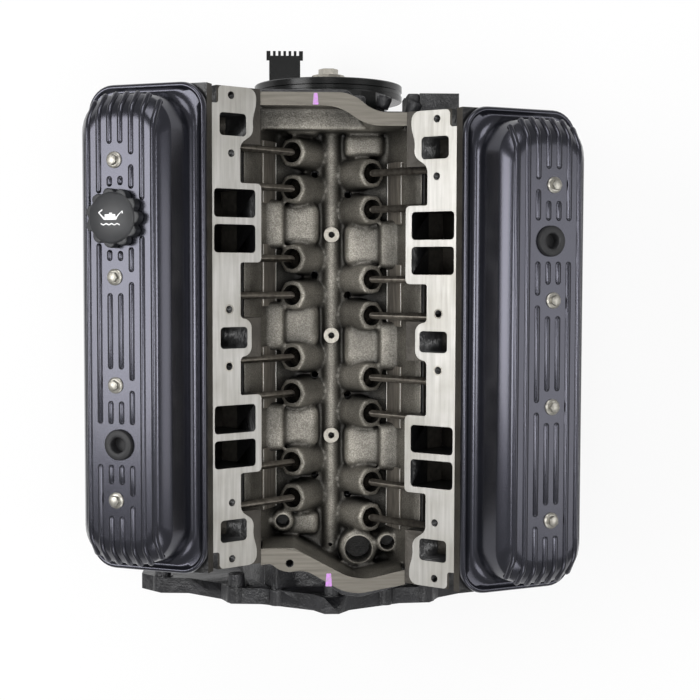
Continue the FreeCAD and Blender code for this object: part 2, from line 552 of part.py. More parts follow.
def build_cover(bank):
    low = "rail_level + cover_gasket"
    top = f"({low} + cover_height)"
    flange = doc.addObject("PartDesign::Body", f"cover_flange_{bank}")
    rounded_pad(flange, f"cover_flange_{bank}", ("cover_inner", "cover_outer"), ("-cover_length/2", "cover_length/2"), "28", low, "4")
    bars = []
    for place in (-3, -2, -1, 0, 1, 2, 3):
        middle = f"rib_line + {place}*rib_pitch"
        bars.append(box(f"rib_{bank}_{place}", (f"{middle} - rib_width/2", f"{middle} + rib_width/2"), ("-dome_length/2 + 6", "dome_length/2 - 6"), (f"{top} - 10", f"{top} + 5")))
    patches = []
    for row, along in enumerate(BOLT_ROWS):
        for side, reach in ((0.5, 15), (-1, 4.5)):
            middle = f"rib_line + {side}*rib_pitch"
            wide = "rib_pitch" if side > 0 else "rib_pitch/2"
            patches.append(box(f"bolt_patch_{bank}_{row}_{reach}", (f"{middle} - {wide}", f"{middle} + {wide}"), (f"{along} - {reach}", f"{along} + {reach}"), (f"{top} - 12", f"{top} + 6")))
    patches.append(box(f"grommet_patch_{bank}", ("rib_line - 1.5*rib_pitch", "rib_line + 1.5*rib_pitch"), ("bore_pitch - 21", "bore_pitch + 21"), (f"{top} - 12", f"{top} + 6")))
    holes = [faceted_bar(f"grommet_seat_{bank}", "14", "grommet_radius - 3", "20", ("cap_line", "bore_pitch", f"{top} - 10"))]
    holes += [faceted_bar(f"cover_bolt_hole_{bank}_{row}", "6", "3.6", "20", ("cover_bolt_line", along, f"{top} - 10")) for row, along in enumerate(BOLT_ROWS)]
    extra = []
    if bank == "driver":
        patches.append(faceted_bar("cap_patch", "16", "cap_radius + 3", "18", ("cap_line", "-bore_pitch", f"{top} - 12")))
        extra.append(faceted_bar("filler_neck", "16", "neck_radius", "7", ("cap_line", "-bore_pitch", f"{top} - 2")))
        holes.append(faceted_bar("filler_hole", "12", "neck_radius - 3", "30", ("cap_line", "-bore_pitch", f"{top} - 15")))
    ribs = cut(f"cover_ribs_{bank}", common(f"ribs_{bank}", build_dome(f"cover_skin_{bank}", "rib_height"), fuse(f"bars_{bank}", *bars)), fuse(f"patches_{bank}", *patches))
    body = fuse(f"cover_body_{bank}", flange, build_dome(f"cover_dome_{bank}", "0"), ribs, *extra)
    room = build_dome(f"cover_room_{bank}", "-cover_wall")
    mouth = box(f"cover_mouth_{bank}", ("dome_inner + cover_wall", "dome_outer - cover_wall"), ("-dome_length/2 + 20", "dome_length/2 - 20"), (f"{low} - 5", f"{low} + 5"))
    return in_frame(f"cover_framed_{bank}", STEM, cut(f"cover_cut_{bank}", body, room, mouth, *holes))


for bank in BANKS:
    node(f"valve_cover_{bank}", on_bank(f"cover_{bank}", build_cover(bank), bank))


def build_cover_trim():
    """Gaskets, bolts, grommets and the filler cap of the valve covers."""
    low = "rail_level + cover_gasket"
    top = f"({low} + cover_height)"
    sheet_out = box("cover_gasket_out", ("rail_inner", "rail_outer"), ("-head_length/2", "head_length/2"), ("rail_level + 0.1", f"{low} - 0.1"))
    sheet_in = box("cover_gasket_in", ("box_inner + 1", "box_outer - 1"), ("-dome_length/2", "dome_length/2"), ("rail_level - 1", f"{low} + 1"))
    seal = in_frame("cover_gasket", STEM, cut("cover_gasket_sheet", sheet_out, sheet_in))
    bolts = []
    for row, along in enumerate(BOLT_ROWS):
        hex_head = faceted_bar(f"cover_bolt_head_{row}", "6", "bolt_head", "6", ("cover_bolt_line", along, f"{top} + seat_gap"))
        washer = faceted_bar(f"cover_bolt_washer_{row}", "8", "bolt_head + 2", "1.6", ("cover_bolt_line", along, f"{top} + seat_gap"))
        shank = faceted_bar(f"cover_bolt_shank_{row}", "6", "3.1", "42", ("cover_bolt_line", along, f"{top} - 41"))
        bolts.append(fuse(f"cover_bolt_{row}", hex_head, washer, shank))
    ring = faceted_bar("grommet_ring", "16", "grommet_radius", "5", ("cap_line", "bore_pitch", f"{top} + 0.1"))
    stem = faceted_bar("grommet_stem", "14", "grommet_radius - 3.3", "9", ("cap_line", "bore_pitch", f"{top} - 7"))
    hole = round_bar("grommet_opening", "grommet_hole", "20", ("cap_line", "bore_pitch", f"{top} - 9"))
    return seal, bolts, cut("grommet", fuse("grommet_body", ring, stem), hole)


cover_seal, cover_bolts, grommet = build_cover_trim()
node("valve_cover_gaskets", group("all_cover_gaskets", on_both("cover_gasket_placed", cover_seal)))
node("valve_cover_bolts", group("all_cover_bolts", on_both("cover_bolts_placed", in_frame("cover_bolts", STEM, *cover_bolts))))
node("cover_grommets", group("all_grommets", on_both("grommet_placed", in_frame("grommet_framed", STEM, grommet))))


def build_cap():
    top = "(rail_level + cover_gasket + cover_height)"
    at = ("cap_line", "-bore_pitch", f"{top} + 0.3")
    body = faceted_bar("cap_body", "24", "cap_radius", "cap_height", at)
    grip = box("cap_grip", ("cap_line - 4", "cap_line + 4"), ("-bore_pitch - 22", "-bore_pitch + 22"), (f"{top} + cap_height - 1", f"{top} + cap_height + 4"))
    socket = faceted_bar("cap_socket", "16", "neck_radius + 0.8", "7", ("cap_line", "-bore_pitch", f"{top} - 1"))
    return in_frame("oil_cap_framed", STEM, cut("oil_cap", fuse("cap_whole", body, grip), socket))


node("oil_fill_cap", on_bank("oil_cap_placed", build_cap(), "driver"))


# ---- crankshaft, rods and pistons ----

def build_crankshaft():
    half = [("26", "stroke/2 + 34"), ("38", "stroke/2 + 14"), ("44", "8")]
    half += [(f"weight_radius*sin({angle})", f"weight_radius*cos({angle})") for angle in (100, 125, 150, 172)]
    web = wall("crank_web", mirrored(half), "-web_width/2", "web_width/2")
    pieces = []
    for place, along in enumerate(MAINS):
        pieces.append(faceted_bar(f"main_journal_{place}", "16", "main_radius", "bore_pitch - pin_length - 2*web_width + 1",
                                ("0", f"{along} - (bore_pitch - pin_length - 2*web_width + 1)/2", "0"), REARWARD))
    for place, along in enumerate(PINS):
        angle = THROWS[place]
        throw = (f"stroke/2*sin({angle})", f"{along} - pin_length/2 - 1", f"stroke/2*cos({angle})")
        pieces.append(faceted_bar(f"crank_pin_{place}", "16", "pin_radius", "pin_length + 2", throw, REARWARD))
        for side in (-1, 1):
            moved = group(f"crank_web_{place}_{side}", [web], turn=(Y_AXIS, str(angle)))
            bind(moved, ".Placement.Base.y", f"{along} + {side}*(pin_length + web_width)/2")
            pieces.append(moved)
    pieces.append(faceted_bar("crank_snout", "16", "snout_radius", "snout_length", ("0", f"{BLOCK_FRONT} + 20 - snout_length", "0"), REARWARD))
    pieces.append(faceted_bar("crank_rear", "16", "main_radius", "50", ("0", f"{MAINS[4]} - 5", "0"), REARWARD))
    pieces.append(faceted_bar("seal_shaft", "24", "rear_shaft_radius", "50", ("0", "-flange_width - 49", "0"), REARWARD))
    pieces.append(faceted_bar("crank_flange", "24", "flange_radius", "flange_width", ("0", "-flange_width", "0"), REARWARD))
    body = fuse("crank_body", *pieces)
    holes = [faceted_bar("snout_thread", "8", "8.3", "40", ("0", f"{BLOCK_FRONT} + 19 - snout_length", "0"), REARWARD),
             round_bar("pilot_hole", "14", "20", ("0", "-19", "0"), REARWARD)]
    for index in range(6):
        holes.append(round_bar(f"flange_hole_{index}", "flange_bolt_radius", "flange_width + 12",
                               (f"flange_bolt_circle/2*sin({60 * index})", "-flange_width - 11",
                                f"flange_bolt_circle/2*cos({60 * index})"), REARWARD))
    return cut("crank", body, *holes)


node("crankshaft", build_crankshaft())


def build_rod():
    """A connecting rod standing on its crank pin, its small end up."""
    across = "rod_width/2"
    big = faceted_bar("rod_big", "12", "38", "rod_width", ("0", f"-{across}", "0"), REARWARD)
    ears = box("rod_ears", ("-41", "41"), (f"-{across}", across), ("-15", "15"))
    small = faceted_bar("rod_small", "10", "wrist_radius + pivot_play + 5", "rod_width", ("0", f"-{across}", "rod_length"), REARWARD)
    beam = box("rod_beam", ("-10", "10"), ("-7", "7"), ("30", "rod_length - 15"))
    pin = faceted_bar("rod_pin_hole", "16", "(pin_radius + journal_play)/cos(11.25)", "rod_width + 2", ("0", f"-{across} - 1", "0"), REARWARD)
    wrist = faceted_bar("rod_wrist_hole", "12", "(wrist_radius + pivot_play)/cos(15)", "rod_width + 2", ("0", f"-{across} - 1", "rod_length"), REARWARD)
    return cut("rod", fuse("rod_body", big, ears, small, beam), pin, wrist)


def build_piston():
    """A piston with its wrist pin, the pin's axis at the origin and the crown up."""
    skirt = faceted_bar("piston_skirt", "16", "bore/2 - bore_clearance", "crown_height + skirt_depth", ("0", "0", "-skirt_depth"))
    room = faceted_bar("piston_room", "10", "bore/2 - 7", "crown_height + skirt_depth - 9", ("0", "0", "-skirt_depth - 1"))
    lower = [box(f"piston_side_{side}", ("-60", "60"), (f"{side}*44 - 14", f"{side}*44 + 14"), ("-skirt_depth - 1", "-14")) for side in (-1, 1)]
    bosses = [box(f"pin_boss_{side}", ("-15", "15"), (f"{side}*29 - 16", f"{side}*29 + 16"), ("-14", "crown_height - 8")) for side in (-1, 1)]
    pin = faceted_bar("wrist_pin", "12", "wrist_radius", "wrist_length", ("0", "-wrist_length/2", "0"), REARWARD)
    return fuse("piston_body", cut("piston_shell", skirt, room, *lower), *bosses, pin)


def place_pistons():
    rod, piston = build_rod(), build_piston()
    for index in range(8):
        bank = ("driver", "passenger")[index % 2]
        pin = index // 2
        turn = THROWS[pin] if bank == "driver" else -THROWS[pin]
        lean = (turn - 45 + 180) % 360 - 180
        spot = CYLINDERS[pin] if bank == "driver" else CYLINDERS[3 - pin]
        swing = f"asin(stroke/2*sin({lean})/rod_length)"
        height = f"(stroke/2*cos({lean}) + sqrt(rod_length^2 - (stroke/2*sin({lean}))^2))"
        rod_here = group(f"rod_{index + 1}_leaned", [rod], (f"stroke/2*sin({lean})", spot, f"stroke/2*cos({lean})"), (Y_AXIS, f"-{swing}"))
        piston_here = group(f"piston_{index + 1}_raised", [piston], ("0", spot, height))
        node(f"rod_{index + 1}", on_bank(f"rod_{index + 1}_placed", in_frame(f"rod_{index + 1}_framed", DECK, rod_here), bank))
        node(f"piston_{index + 1}", on_bank(f"piston_{index + 1}_placed", in_frame(f"piston_{index + 1}_framed", DECK, piston_here), bank))


place_pistons()


def build_caps():
    caps = []
    for place, along in enumerate(MAINS):
        body = box(f"main_cap_{place}", ("-cap_half", "cap_half"), (f"{along} - bulkhead/2", f"{along} + bulkhead/2"), ("-cap_depth", "-0.05"))
        hole = faceted_bar(f"main_cap_hole_{place}", "16", "(main_radius + journal_play)/cos(11.25)", "bulkhead + 2", ("0", f"{along} - bulkhead/2 - 1", "0"), REARWARD)
        heads = [faceted_bar(f"cap_bolt_{place}_{side}", "6", "cap_bolt", "11", (f"{side}*cap_bolt_line", along, "-cap_depth - 9")) for side in (-1, 1)]
        caps.append(cut(f"main_cap_cut_{place}", fuse(f"main_cap_bolted_{place}", body, *heads), hole))
    return caps


node("main_bearing_caps", group("all_main_caps", build_caps()))


# ---- camshaft and timing gear ----

def build_camshaft():
    front = f"({BLOCK_FRONT} - 4 - sprocket_width)"
    pieces = [faceted_bar("cam_core", "8", "cam_core", f"{MAINS[4]} + 12 - {front}", ("0", front, "cam_height"), REARWARD)]
    for place, along in enumerate(MAINS):
        pieces.append(faceted_bar(f"cam_journal_{place}", "16", "cam_journal", "bulkhead", ("0", f"{along} - bulkhead/2", "cam_height"), REARWARD))
    for bank, (turn, offset) in BANKS.items():
        side = 1 if bank == "driver" else -1
        for place, (along, _) in enumerate(VALVES):
            angle = (place * 97 + 40 * side) % 360
            at = (f"lobe_lift*sin({angle})", f"{offset} + {side}*{along} - lobe_width/2", f"cam_height + lobe_lift*cos({angle})")
            pieces.append(faceted_bar(f"lobe_{bank}_{place}", "8", "lobe_radius", "lobe_width", at, REARWARD))
    return fuse("cam", *pieces)


node("camshaft", build_camshaft())


def build_timing():
    rear = f"({BLOCK_FRONT} - 4)"
    front = f"({rear} - sprocket_width)"
    wheel = faceted_bar("cam_wheel", "24", "cam_sprocket_radius + 2", "sprocket_width", ("0", front, "cam_height"), REARWARD)
    wheel_hole = faceted_bar("cam_wheel_hole", "8", "cam_core + 0.15", "sprocket_width + 2", ("0", f"{front} - 1", "cam_height"), REARWARD)
    windows = [faceted_bar(f"wheel_window_{index}", "6", "10", "sprocket_width + 2",
                           (f"34*sin({60 * index})", f"{front} - 1", f"cam_height + 34*cos({60 * index})"), REARWARD) for index in range(6)]
    node("cam_sprocket", cut("cam_wheel_cut", wheel, wheel_hole, *windows))
    gear = faceted_bar("crank_wheel", "16", "crank_sprocket_radius + 2", "sprocket_width + 2", ("0", f"{front}", "0"), REARWARD)
    gear_hole = faceted_bar("crank_wheel_hole", "16", "snout_radius + 0.1", "sprocket_width + 4", ("0", f"{front} - 1", "0"), REARWARD)
    node("crank_sprocket", cut("crank_wheel_cut", gear, gear_hole))
    outside = belt("chain_out", "cam_sprocket_radius + chain_height", "crank_sprocket_radius + chain_height", f"{front} + 1", f"{rear} - 1")
    inside = belt("chain_in", "cam_sprocket_radius + 4", "crank_sprocket_radius + 4", front, rear)
    node("timing_chain", cut("chain", outside, inside))


def belt(name, top_radius, low_radius, front, rear):
    """The outline round the two sprockets' centres, carried from front to rear."""
    half = [(f"({top_radius})*sin({angle})", f"cam_height + ({top_radius})*cos({angle})") for angle in (10, 30, 50, 70, 88)]
    half += [(f"({low_radius})*sin({angle})", f"({low_radius})*cos({angle})") for angle in (104, 128, 150, 171)]
    return wall(name, mirrored(half), front, rear)


build_timing()


def build_front():
    face = f"({BLOCK_FRONT} - chest_depth)"
    rear = f"({BLOCK_FRONT} - 0.1)"
    shell_top, shell_low = "front_cover_radius - cover_rim", "lower_cover_radius - cover_rim"
    flange = belt("timing_flange", "front_cover_radius", "lower_cover_radius", f"{rear} - 3", rear)
    shell = belt("timing_shell", shell_top, shell_low, face, rear)
    room = belt("timing_room", f"{shell_top} - cover_sheet", f"{shell_low} - cover_sheet", f"{face} + cover_sheet", f"{rear} + 1")
    saddle = common("timing_saddle", faceted_bar("saddle_round", "16", "lower_cover_radius", "9", ("0", f"{rear} - 9", "0"), REARWARD),
                    box("saddle_half", ("-80", "80"), (f"{rear} - 20", f"{rear} + 1"), ("-80", "-6")))
    holes = [faceted_bar("seal_seat", "16", "seal_radius", "10", ("0", f"{face} - 1", "0"), REARWARD)]
    heads = [faceted_bar(f"timing_bolt_{index}", "6", "cover_rim/2 - 0.4", "7", (across, f"{rear} - 9", up), REARWARD)
             for index, (across, up) in enumerate(TIMING_BOLTS)]
    node("timing_cover", cut("timing_cover_cut", fuse("timing_body", flange, shell, saddle, *heads), room, *holes))
    ring = faceted_bar("front_seal_ring", "16", "seal_radius - 0.05", "7", ("0", face, "0"), REARWARD)
    lip = faceted_bar("front_seal_lip", "16", "(hub_radius + 0.06)/cos(11.25)", "9", ("0", f"{face} - 1", "0"), REARWARD)
    node("front_seal", cut("front_seal_cut", ring, lip))
    strip = box("pointer_strip", ("pointer_center - pointer_width/2", "pointer_center + pointer_width/2"), ("-pointer_front", f"{face} - 1"), ("-pointer_level - 2.5", "-pointer_level"))
    head_strip = box("pointer_teeth", ("pointer_center - pointer_head/2", "pointer_center + pointer_head/2"), ("-pointer_front", "-pointer_front + 12"), ("-pointer_level - 2.5", "-pointer_level"))
    leg = box("pointer_leg", ("pointer_center - pointer_width/2", "pointer_center - 8"), (f"{face} - 3", f"{face} - seat_gap"), ("-pointer_level - 2.5", "-8"))
    nicks = [box(f"pointer_nick_{index}", (f"pointer_center + {index}*6.7 - 1.6", f"pointer_center + {index}*6.7 + 1.6"), ("-pointer_front - 1", "-pointer_front + 6"), ("-pointer_level - 4", "-pointer_level + 1")) for index in (-2.5, -1.5, -0.5, 0.5, 1.5, 2.5)]
    node("timing_pointer", cut("pointer", fuse("pointer_body", strip, head_strip, leg), *nicks))


build_front()


def build_damper():
    front = "(-damper_front)"
    rear = f"({front} + damper_width)"
    nose = f"({front} - hub_reach + 8)"
    tube = faceted_bar("hub_tube", "16", "hub_radius", f"{BLOCK_FRONT} - 4 - sprocket_width - 0.4 - {nose}", ("0", nose, "0"), REARWARD)
    disc = faceted_bar("hub_disc", "24", "damper_radius - ring_width - rubber_width", "damper_width - 6", ("0", f"{front} + 4", "0"), REARWARD)
    bore = faceted_bar("hub_bore", "16", "snout_radius + 0.1", "90", ("0", f"{nose} - 1", "0"), REARWARD)
    pulley_holes = [round_bar(f"pulley_hole_{index}", "4.8", "14", (f"34*sin({120 * index})", f"{front} + 3", f"34*cos({120 * index})"), REARWARD) for index in range(3)]
    windows = [faceted_bar(f"hub_window_{index}", "6", "9", "damper_width + 2", (f"48*sin({120 * index + 60})", front, f"48*cos({120 * index + 60})"), REARWARD) for index in range(3)]
    node("damper_hub", cut("hub", fuse("hub_body", tube, disc), bore, *pulley_holes, *windows))
    pad = faceted_bar("rubber_out", "24", "damper_radius - ring_width - 0.02", "damper_width - 8", ("0", f"{front} + 5", "0"), REARWARD)
    pad_hole = faceted_bar("rubber_in", "24", "damper_radius - ring_width - rubber_width + 0.02", "damper_width", ("0", front, "0"), REARWARD)
    node("damper_rubber", cut("rubber", pad, pad_hole))
    ring = faceted_bar("ring_out", "24", "damper_radius", "damper_width", ("0", front, "0"), REARWARD)
    ring_hole = faceted_bar("ring_in", "24", "damper_radius - ring_width", "damper_width + 2", ("0", f"{front} - 1", "0"), REARWARD)
    node("damper_ring", cut("ring", ring, ring_hole))
    washer = faceted_bar("bolt_washer", "16", "20", "3", ("0", f"{nose} - 3.05", "0"), REARWARD)
    hex_head = faceted_bar("crank_bolt_head", "6", "12", "8", ("0", f"{nose} - 11", "0"), REARWARD)
    shank = faceted_bar("crank_bolt_shank", "8", "8", "40", ("0", f"{nose} - 1", "0"), REARWARD)
    node("crank_bolt", fuse("crank_bolt_body", washer, hex_head, shank))


build_damper()


# ---- rear seal, oil pan and oil pump ----

def build_bottom():
    disc = faceted_bar("housing_disc", "24", "flange_radius + 17.7", "9.6", ("0", f"{BLOCK_REAR} - 9.8", "0"), REARWARD)
    opening = faceted_bar("housing_hole", "24", "flange_radius + 2", "12", ("0", f"{BLOCK_REAR} - 11", "0"), REARWARD)
    node("rear_seal_housing", cut("housing", disc, opening))
    ring = faceted_bar("rear_seal_ring", "24", "flange_radius + 1.95", "5.8", ("0", f"{BLOCK_REAR} - 9.6", "0"), REARWARD)
    lip = faceted_bar("rear_seal_lip", "24", "(rear_shaft_radius + 0.06)/cos(7.5)", "12", ("0", f"{BLOCK_REAR} - 11", "0"), REARWARD)
    node("rear_seal", cut("rear_seal_cut", ring, lip))

    lid = "(-pan_gasket - 0.2)"
    front, rear = f"({BLOCK_FRONT} - 8)", "(-flange_reach - 2)"
    sump_rear = "-58"
    shallow = box("pan_shallow_out", ("-pan_half", "pan_half"), (front, rear), ("-pan_shallow", lid))
    sump = box("pan_sump_out", ("-pan_half", "pan_half"), (f"{sump_rear} - sump_length", sump_rear), ("-pan_depth", "-pan_shallow + 1"))
    rim = box("pan_rim", ("-rail_half", "rail_half"), (BLOCK_FRONT, f"{BLOCK_REAR} - bell_width"), (f"{lid} - pan_flange", lid))
    room = box("pan_room", ("-pan_half + pan_sheet", "pan_half - pan_sheet"), (f"{front} + pan_sheet", f"{rear} - 6"), ("-pan_shallow + pan_sheet", "1"))
    well = box("pan_well", ("-pan_half + pan_sheet", "pan_half - pan_sheet"), (f"{sump_rear} - sump_length + pan_sheet", f"{sump_rear} - pan_sheet"), ("-pan_depth + pan_sheet", "-pan_shallow + 5"))
    front_round = faceted_bar("pan_front_round", "16", "lower_cover_radius + 0.3", "30", ("0", f"{front} - 10", "0"), REARWARD)
    rear_round = faceted_bar("pan_rear_round", "24", "flange_radius + 18.1", "30", ("0", f"{rear} - 20", "0"), REARWARD)
    heads = [faceted_bar(f"pan_bolt_{index}", "6", "5.6", "7", (f"{side}*pan_bolt_line", along, f"{lid} - pan_flange - 5")) for index, (side, along) in enumerate(PAN_BOLTS)]
    drain = faceted_bar("drain_hole", "8", "7.2", "10", ("0", f"{sump_rear} - 5", "-pan_depth + 25"), REARWARD)
    node("oil_pan", cut("pan", fuse("pan_body", shallow, sump, rim, *heads), room, well, front_round, rear_round, drain))
    seal_out = box("pan_gasket_out", ("-rail_half", "rail_half"), (BLOCK_FRONT, f"{BLOCK_REAR} - bell_width"), (f"{lid} + 0.1", "-0.1"))
    seal_in = box("pan_gasket_in", ("-pan_half", "pan_half"), (f"{BLOCK_FRONT} - 5", f"{BLOCK_REAR}"), ("-9", "9"))
    node("oil_pan_gasket", cut("pan_seal", seal_out, seal_in))
    plug_at = f"{sump_rear}"
    plug = fuse("plug_body", faceted_bar("plug_head", "6", "11", "7", ("0", f"{plug_at} + 0.2", "-pan_depth + 25"), REARWARD),
                faceted_bar("plug_shank", "8", "7", "10", ("0", f"{plug_at} - 8", "-pan_depth + 25"), REARWARD))
    node("drain_plug", plug)
    body = box("pump_body", ("-34", "34"), (f"{MAINS[4]} - 11", f"{MAINS[4]} + 11"), ("-cap_depth - 48", "-cap_depth - 0.2"))
    skirt = box("pump_skirt", ("-28", "28"), (f"{MAINS[4]} - 40", f"{MAINS[4]} - 10"), ("-cap_depth - 48", "-cap_depth - 22"))
    pump_room = [faceted_bar(f"pump_clear_{side}", "6", "13", "11", (f"{side}*cap_bolt_line", MAINS[4], "-cap_depth - 10.5")) for side in (-1, 1)]
    node("oil_pump", cut("pump", fuse("pump_whole", body, skirt), *pump_room))
    tube = faceted_bar("pickup_tube", "8", "8", "80", ("0", f"{MAINS[4]} - 120", "-cap_depth - 36"), REARWARD)
    drop = faceted_bar("pickup_drop", "8", "8", "82", ("0", f"{MAINS[4]} - 120", "-cap_depth - 36 - 78"))
    screen = faceted_bar("pickup_screen", "12", "34", "12", ("0", f"{MAINS[4]} - 120", "-cap_depth - 36 - 88"))
    node("oil_pickup", fuse("pickup", tube, drop, screen))
    plugs = [faceted_bar(f"core_plug_{place}", "12", "core_plug", "3", ("jacket_outer - 4.9", f"{place}*bore_pitch", "150"), (Y_AXIS, "90")) for place in (-1, 0, 1)]
    node("core_plugs", group("all_core_plugs", on_both("core_plugs_placed", group("bank_plugs", plugs, turn=DECK))))


build_bottom()


def write_all():
    doc.recompute()
    doc.recompute()
    for thing in doc.Objects:
        if "Invalid" in thing.State or "Error" in thing.State:
            raise RuntimeError(f"{thing.Name} failed: {thing.State}")
    for thing in NODES:
        if thing.Shape.isNull() or not thing.Shape.isValid():
            raise RuntimeError(f"{thing.Label} has no valid shape")
    os.makedirs("parts", exist_ok=True)
    for thing in NODES:
        thing.Shape.exportStep(f"parts/{thing.Label}.step")
        print(thing.Label, "solids", len(thing.Shape.Solids), "volume", round(thing.Shape.Volume))


write_all()
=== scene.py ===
import math
import bmesh
import bpy
from mathutils import Matrix, Vector


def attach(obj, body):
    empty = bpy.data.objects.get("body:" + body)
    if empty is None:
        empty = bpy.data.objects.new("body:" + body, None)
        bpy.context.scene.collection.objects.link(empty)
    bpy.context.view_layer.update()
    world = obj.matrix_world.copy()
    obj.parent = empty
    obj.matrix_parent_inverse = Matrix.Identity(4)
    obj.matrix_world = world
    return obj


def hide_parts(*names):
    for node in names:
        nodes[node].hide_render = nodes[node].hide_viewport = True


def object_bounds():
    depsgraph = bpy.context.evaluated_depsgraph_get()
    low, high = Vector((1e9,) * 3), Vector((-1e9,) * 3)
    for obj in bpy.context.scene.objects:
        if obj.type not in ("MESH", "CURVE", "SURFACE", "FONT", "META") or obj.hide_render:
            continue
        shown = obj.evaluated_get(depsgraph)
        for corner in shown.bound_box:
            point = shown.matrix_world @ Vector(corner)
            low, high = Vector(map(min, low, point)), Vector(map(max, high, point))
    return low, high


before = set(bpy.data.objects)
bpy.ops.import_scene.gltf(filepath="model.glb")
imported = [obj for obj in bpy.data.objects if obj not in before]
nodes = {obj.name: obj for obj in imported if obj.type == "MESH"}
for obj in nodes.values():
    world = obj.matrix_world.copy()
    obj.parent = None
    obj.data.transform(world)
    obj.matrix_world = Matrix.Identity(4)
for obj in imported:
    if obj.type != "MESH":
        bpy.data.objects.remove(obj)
cad_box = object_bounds()

# ---- camera, floor and light ----
# The engine is seen from above, its front end at the top of the view.
# It stands on pale card in an even white studio, lit by five large soft lamps.

camera_data = bpy.data.cameras.new("camera")
camera_data.sensor_width = 36
camera_data.lens = 69.94
camera_data.clip_end = 20
camera = bpy.data.objects.new("camera", camera_data)
look = Matrix.Rotation(math.pi, 4, "Z") @ Matrix.Rotation(-0.0570, 4, "X")
look = look @ Matrix.Rotation(-0.0398, 4, "Y") @ Matrix.Rotation(0.0003, 4, "Z")
camera.matrix_world = Matrix.Translation((0.03954, -0.38607, 1.67889)) @ look
bpy.context.scene.collection.objects.link(camera)
bpy.context.scene.camera = camera
bpy.context.scene.view_settings.view_transform = "Standard"


def linear(code):
    """An sRGB hex colour as the linear values that a shader takes."""
    values = [int(code[start:start + 2], 16) / 255 for start in (0, 2, 4)]
    return [value / 12.92 if value <= 0.04045 else ((value + 0.055) / 1.055) ** 2.4 for value in values] + [1]


def add(tree, kind, inputs=None, **settings):
    """A shader node with its settings, and its inputs as values or as sockets to link."""
    made = tree.nodes.new(f"ShaderNode{kind}")
    for name, value in settings.items():
        setattr(made, name, value)
    for name, value in (inputs or {}).items():
        socket = made.inputs[name]
        if isinstance(value, bpy.types.NodeSocket):
            tree.links.new(value, socket)
        else:
            socket.default_value = value
    return made


def blank(name):
    """A material with an empty node tree, and the tree."""
    material = bpy.data.materials.new(name)
    material.use_nodes = True
    material.node_tree.nodes.clear()
    return material, material.node_tree


# Matt card: near white to the camera and in reflections, and it keeps the shadow.
card, tree = blank("pale_card")
paper = add(tree, "BsdfDiffuse", {"Color": linear("f4f4f4")})
seen = add(tree, "LightPath")
glow = add(tree, "Emission", {"Color": linear("ffffff"), "Strength": 1.0})
either = add(tree, "Math", {0: seen.outputs["Is Camera Ray"], 1: seen.outputs["Is Glossy Ray"]},
             operation="MAXIMUM")
share = add(tree, "Math", {0: either.outputs[0], 1: 0.8}, operation="MULTIPLY")
blend = add(tree, "MixShader", {0: share.outputs[0], 1: paper.outputs[0], 2: glow.outputs[0]})
add(tree, "OutputMaterial", {"Surface": blend.outputs[0]})

FLOOR_GAP = 0.0005
FLOOR_HALF = 4.0
shape = bmesh.new()
bmesh.ops.create_grid(shape, x_segments=1, y_segments=1, size=FLOOR_HALF,
                      matrix=Matrix.Translation((0, -0.3, cad_box[0][2] - FLOOR_GAP)))
floor_mesh = bpy.data.meshes.new("floor")
shape.to_mesh(floor_mesh)
shape.free()
floor = bpy.data.objects.new("floor", floor_mesh)
bpy.context.scene.collection.objects.link(floor)
floor.data.materials.append(card)

world = bpy.data.worlds.new("studio")
bpy.context.scene.world = world
world.use_nodes = True
tree = world.node_tree
tree.nodes.clear()
seen = add(tree, "LightPath")
room = add(tree, "Background", {"Color": linear("ffffff"), "Strength": 0.35})
bright = add(tree, "Background", {"Color": linear("ffffff"), "Strength": 1.0})
pick = add(tree, "MixShader", {0: seen.outputs["Is Camera Ray"], 1: room.outputs[0], 2: bright.outputs[0]})
add(tree, "OutputWorld", {"Surface": pick.outputs[0]})

LAMPS = {
    "lamp_left": ((1.9, -0.5, 1.9), 1.2, 30),
    "lamp_right": ((-2.0, -0.2, 1.7), 1.2, 11),
    "lamp_front": ((0.2, -2.2, 1.8), 1.2, 18),
    "lamp_rear": ((-0.3, 1.7, 2.0), 1.2, 14),
    "lamp_top": ((0.05, -0.25, 2.3), 0.7, 15),
}
for name, (place, width, power) in LAMPS.items():
    lamp = bpy.data.lights.new(name, "AREA")
    lamp.energy = power
    lamp.size = width
    lamp_object = bpy.data.objects.new(name, lamp)
    lamp_object.location = place
    lamp_object.rotation_euler = (Vector((0, -0.3, 0.15)) - Vector(place)).to_track_quat("-Z", "Y").to_euler()
    bpy.context.scene.collection.objects.link(lamp_object)


# ---- cylinder block ----
# Grey iron, sand cast: bare and rough in the lifter valley, black paint outside. Its valley is a
# remeshed casting with rounded corners, and the rest is the CAD shape. The two banks share one
# description, made in millimetres in the driver's bank's frame and turned into place.

MM = Matrix.Scale(0.001, 4)
MIDDLE = -0.316
STAGGER = 0.02236
HALF_TURN = Matrix.Rotation(math.pi, 4, "Z")
BANKS = {"driver": Matrix.Translation((0, MIDDLE - STAGGER / 2, 0)) @ MM,
         "passenger": Matrix.Translation((0, MIDDLE + STAGGER / 2, 0)) @ HALF_TURN @ MM}
VALVE_PLACES = [end * (middle + side * 19.75)
                for end in (-1, 1) for middle in (169.64, 53.88) for side in (-1, 1)]
LIFTER_TILT = math.radians(31.2)
CAM_HEIGHT = 114.8


def principled(name, color, rough, metal=0.0, **more):
    """A surface of one colour: the material, its tree, its object coordinates and its shader."""
    material, tree = blank(name)
    place = add(tree, "TexCoord").outputs["Object"]
    inputs = {"Base Color": linear(color), "Roughness": rough, "Metallic": metal, **more}
    shader = add(tree, "BsdfPrincipled", inputs)
    add(tree, "OutputMaterial", {"Surface": shader.outputs[0]})
    return material, tree, place, shader


